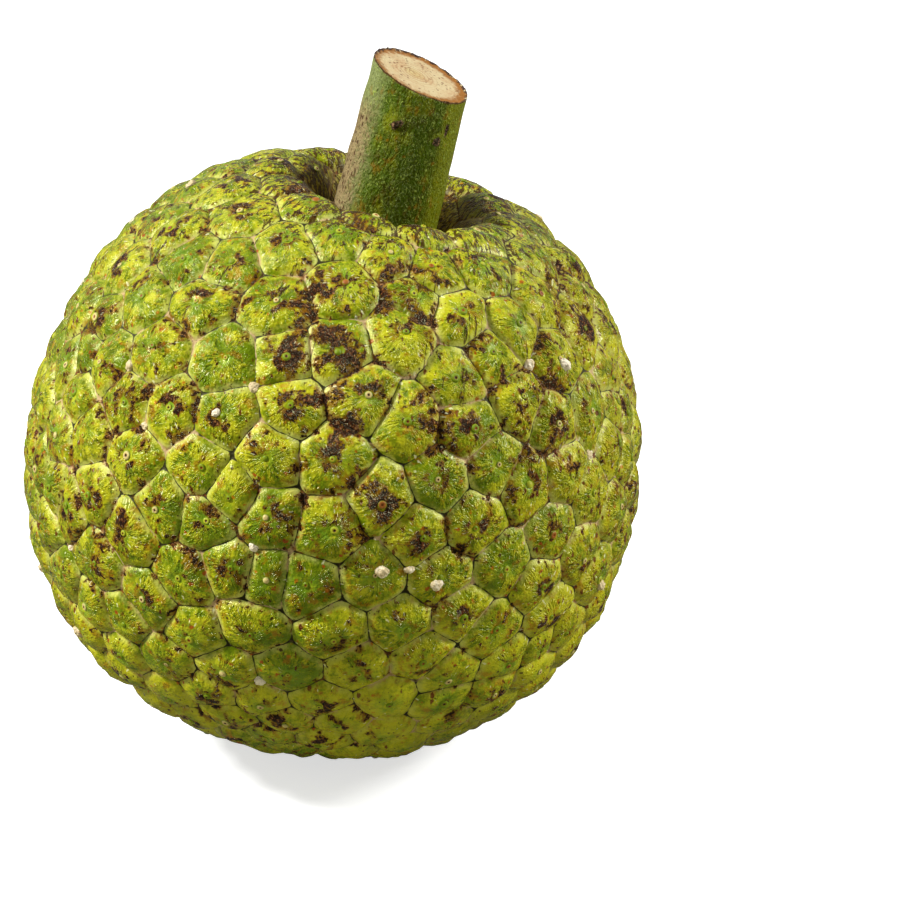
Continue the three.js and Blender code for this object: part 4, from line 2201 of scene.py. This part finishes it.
@dataclass(frozen=True)
class Softbox:
    """A square lamp that shines at the fruit."""

    name: str
    place: tuple[float, float, float]
    size: float
    power: float

    def build(self, target: Vector) -> bpy.types.Object:
        """Hangs the lamp and turns it to the target.

        Args:
            target: What it shines at.

        Returns:
            The lamp.
        """
        data = bpy.data.lights.new(self.name, "AREA")
        data.size = self.size
        data.energy = self.power
        lamp = bpy.data.objects.new(self.name, data)
        lamp.location = self.place
        lamp.rotation_euler = (target - Vector(self.place)).to_track_quat("-Z", "Y").to_euler()
        bpy.context.scene.collection.objects.link(lamp)
        return lamp


@dataclass(frozen=True)
class Studio:
    """A pale floor and soft light, and the camera."""

    middle: Vector
    elevation: float = math.radians(22)
    lens: float = 90.0
    distance: float = 0.548
    aside: float = 28.1 * MM
    above: float = 0.8 * MM
    floor_size: float = 8.0
    sky_strength: float = 0.37
    rear_gleam: float = 0.46
    front_gleam: float = 0.02
    gleam_turns: float = 0.4
    satin_share: float = 0.02
    floor_glow: float = 0.64
    floor_grain: float = 2 * MM
    paper_low: Colour = paint(222, 222, 222)
    paper_high: Colour = paint(226, 226, 226)
    thrown_back: Colour = paint(148, 146, 122)
    mirrored: Colour = paint(84, 84, 76)
    softboxes: tuple[Softbox, ...] = (
        Softbox("key", (-0.84, -0.20, 0.88), 0.2, 22.0),
        Softbox("right_rim", (0.86, 0.04, 0.55), 0.25, 9.5),
    )

    def build_camera(self) -> None:
        """Sets the camera in front of the fruit, where it looks a little down."""
        right = Vector((1, 0, 0))
        back = Vector((0, -math.cos(self.elevation), math.sin(self.elevation)))
        up = back.cross(right)
        aim = self.middle + right * self.aside + up * self.above
        data = bpy.data.cameras.new("camera")
        data.lens = self.lens
        camera = bpy.data.objects.new("camera", data)
        camera.location = aim + back * self.distance
        camera.rotation_euler = (-back).to_track_quat("-Z", "Y").to_euler()
        bpy.context.scene.collection.objects.link(camera)
        bpy.context.scene.camera = camera

    def seen(self, bench: Bench) -> Signal:
        """Where the white of the studio is seen.

        Args:
            bench: The bench of the floor's or the sky's nodes.

        Returns:
            1 to the camera and through clear things, and as much of it as satin skins show in gloss.
        """
        path = bench.node("ShaderNodeLightPath")
        glossy = Signal(bench, path.outputs["Is Glossy Ray"]) * self.satin_share
        clear = Signal(bench, path.outputs["Is Transmission Ray"])
        return Signal(bench, path.outputs["Is Camera Ray"]).at_least(clear).at_least(glossy)

    def build_floor(self) -> bpy.types.Object:
        """Lays a white floor that keeps the fruit's shadow and throws little light back up.

        Returns:
            The floor.
        """
        half = self.floor_size / 2
        corners = np.array([(-half, -half, 0), (half, -half, 0), (half, half, 0), (-half, half, 0)])
        floor = new_piece("floor", corners, [(0, 1, 2, 3)])
        material = bpy.data.materials.new("floor_paper")
        bench = bare_nodes(material)
        grain = bench.noise(bench.place(), self.floor_grain, detail=2.0)
        white = bench.blend(grain, self.paper_low, self.paper_high)
        matt = bench.node("ShaderNodeBsdfDiffuse", {"Color": white})
        glossy = bench.node("ShaderNodeLightPath").outputs["Is Glossy Ray"]
        grey = bench.blend(glossy, self.thrown_back, self.mirrored)
        dim = bench.node("ShaderNodeBsdfDiffuse", {"Color": grey})
        glow = bench.node("ShaderNodeEmission", {"Color": (1.0, 1.0, 1.0), "Strength": self.floor_glow})
        lit = bench.node("ShaderNodeAddShader", {0: matt.outputs[0], 1: glow.outputs[0]})
        shaders = {0: self.seen(bench), 1: dim.outputs[0], 2: lit.outputs[0]}
        surface = bench.node("ShaderNodeMixShader", shaders)
        bench.node("ShaderNodeOutputMaterial", {"Surface": surface.outputs[0]})
        floor.data.materials.append(material)
        return floor

    def build_sky(self) -> None:
        """Makes the surroundings white to the eye and in reflections, and dimmer as a light."""
        world = bpy.data.worlds.new("studio")
        bench = bare_nodes(world)
        _, depth, _ = bench.parts(bench.node("ShaderNodeTexCoord").outputs["Generated"])
        glossy = Signal(bench, bench.node("ShaderNodeLightPath").outputs["Is Glossy Ray"])
        rearward = depth.rise(-self.gleam_turns, self.gleam_turns)
        gleam = rearward * (self.rear_gleam - self.front_gleam) + self.front_gleam
        dim = glossy * (gleam - self.sky_strength) + self.sky_strength
        strength = self.seen(bench) * (1.0 - dim) + dim
        sky = bench.node("ShaderNodeBackground", {"Color": (1.0, 1.0, 1.0), "Strength": strength})
        bench.node("ShaderNodeOutputWorld", {"Surface": sky.outputs[0]})
        bpy.context.scene.world = world

    def build(self) -> None:
        """Builds the whole studio."""
        self.build_camera()
        self.build_floor()
        self.build_sky()
        for softbox in self.softboxes:
            softbox.build(self.middle)
        bpy.context.scene.view_settings.view_transform = "Standard"


def main() -> None:
    """Loads the frame, builds every piece and the studio, and writes how large they came out."""
    logging.basicConfig(level=logging.INFO, format="%(name)s: %(message)s")
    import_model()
    form = FruitForm()
    effects = SharedEffects()
    fruitlets = Fruitlets(form, FruitletLayout())
    skin = FruitSkin(fruitlets, RindFinish(effects, form)).build()
    tips = FruitletTips(fruitlets, TipFinish(effects)).build(skin)
    drops = LatexDrops(fruitlets, LatexFinish(effects)).build(skin)
    stem = CutStem(form, BarkFinish(effects, form), CutWoodFinish(effects, form)).build()
    for piece in (skin, tips, drops, stem):
        LOG.info("%s: %d faces", piece.name, len(piece.data.polygons))
    Studio(form.middle()).build()


if __name__ == "__main__":
    main()
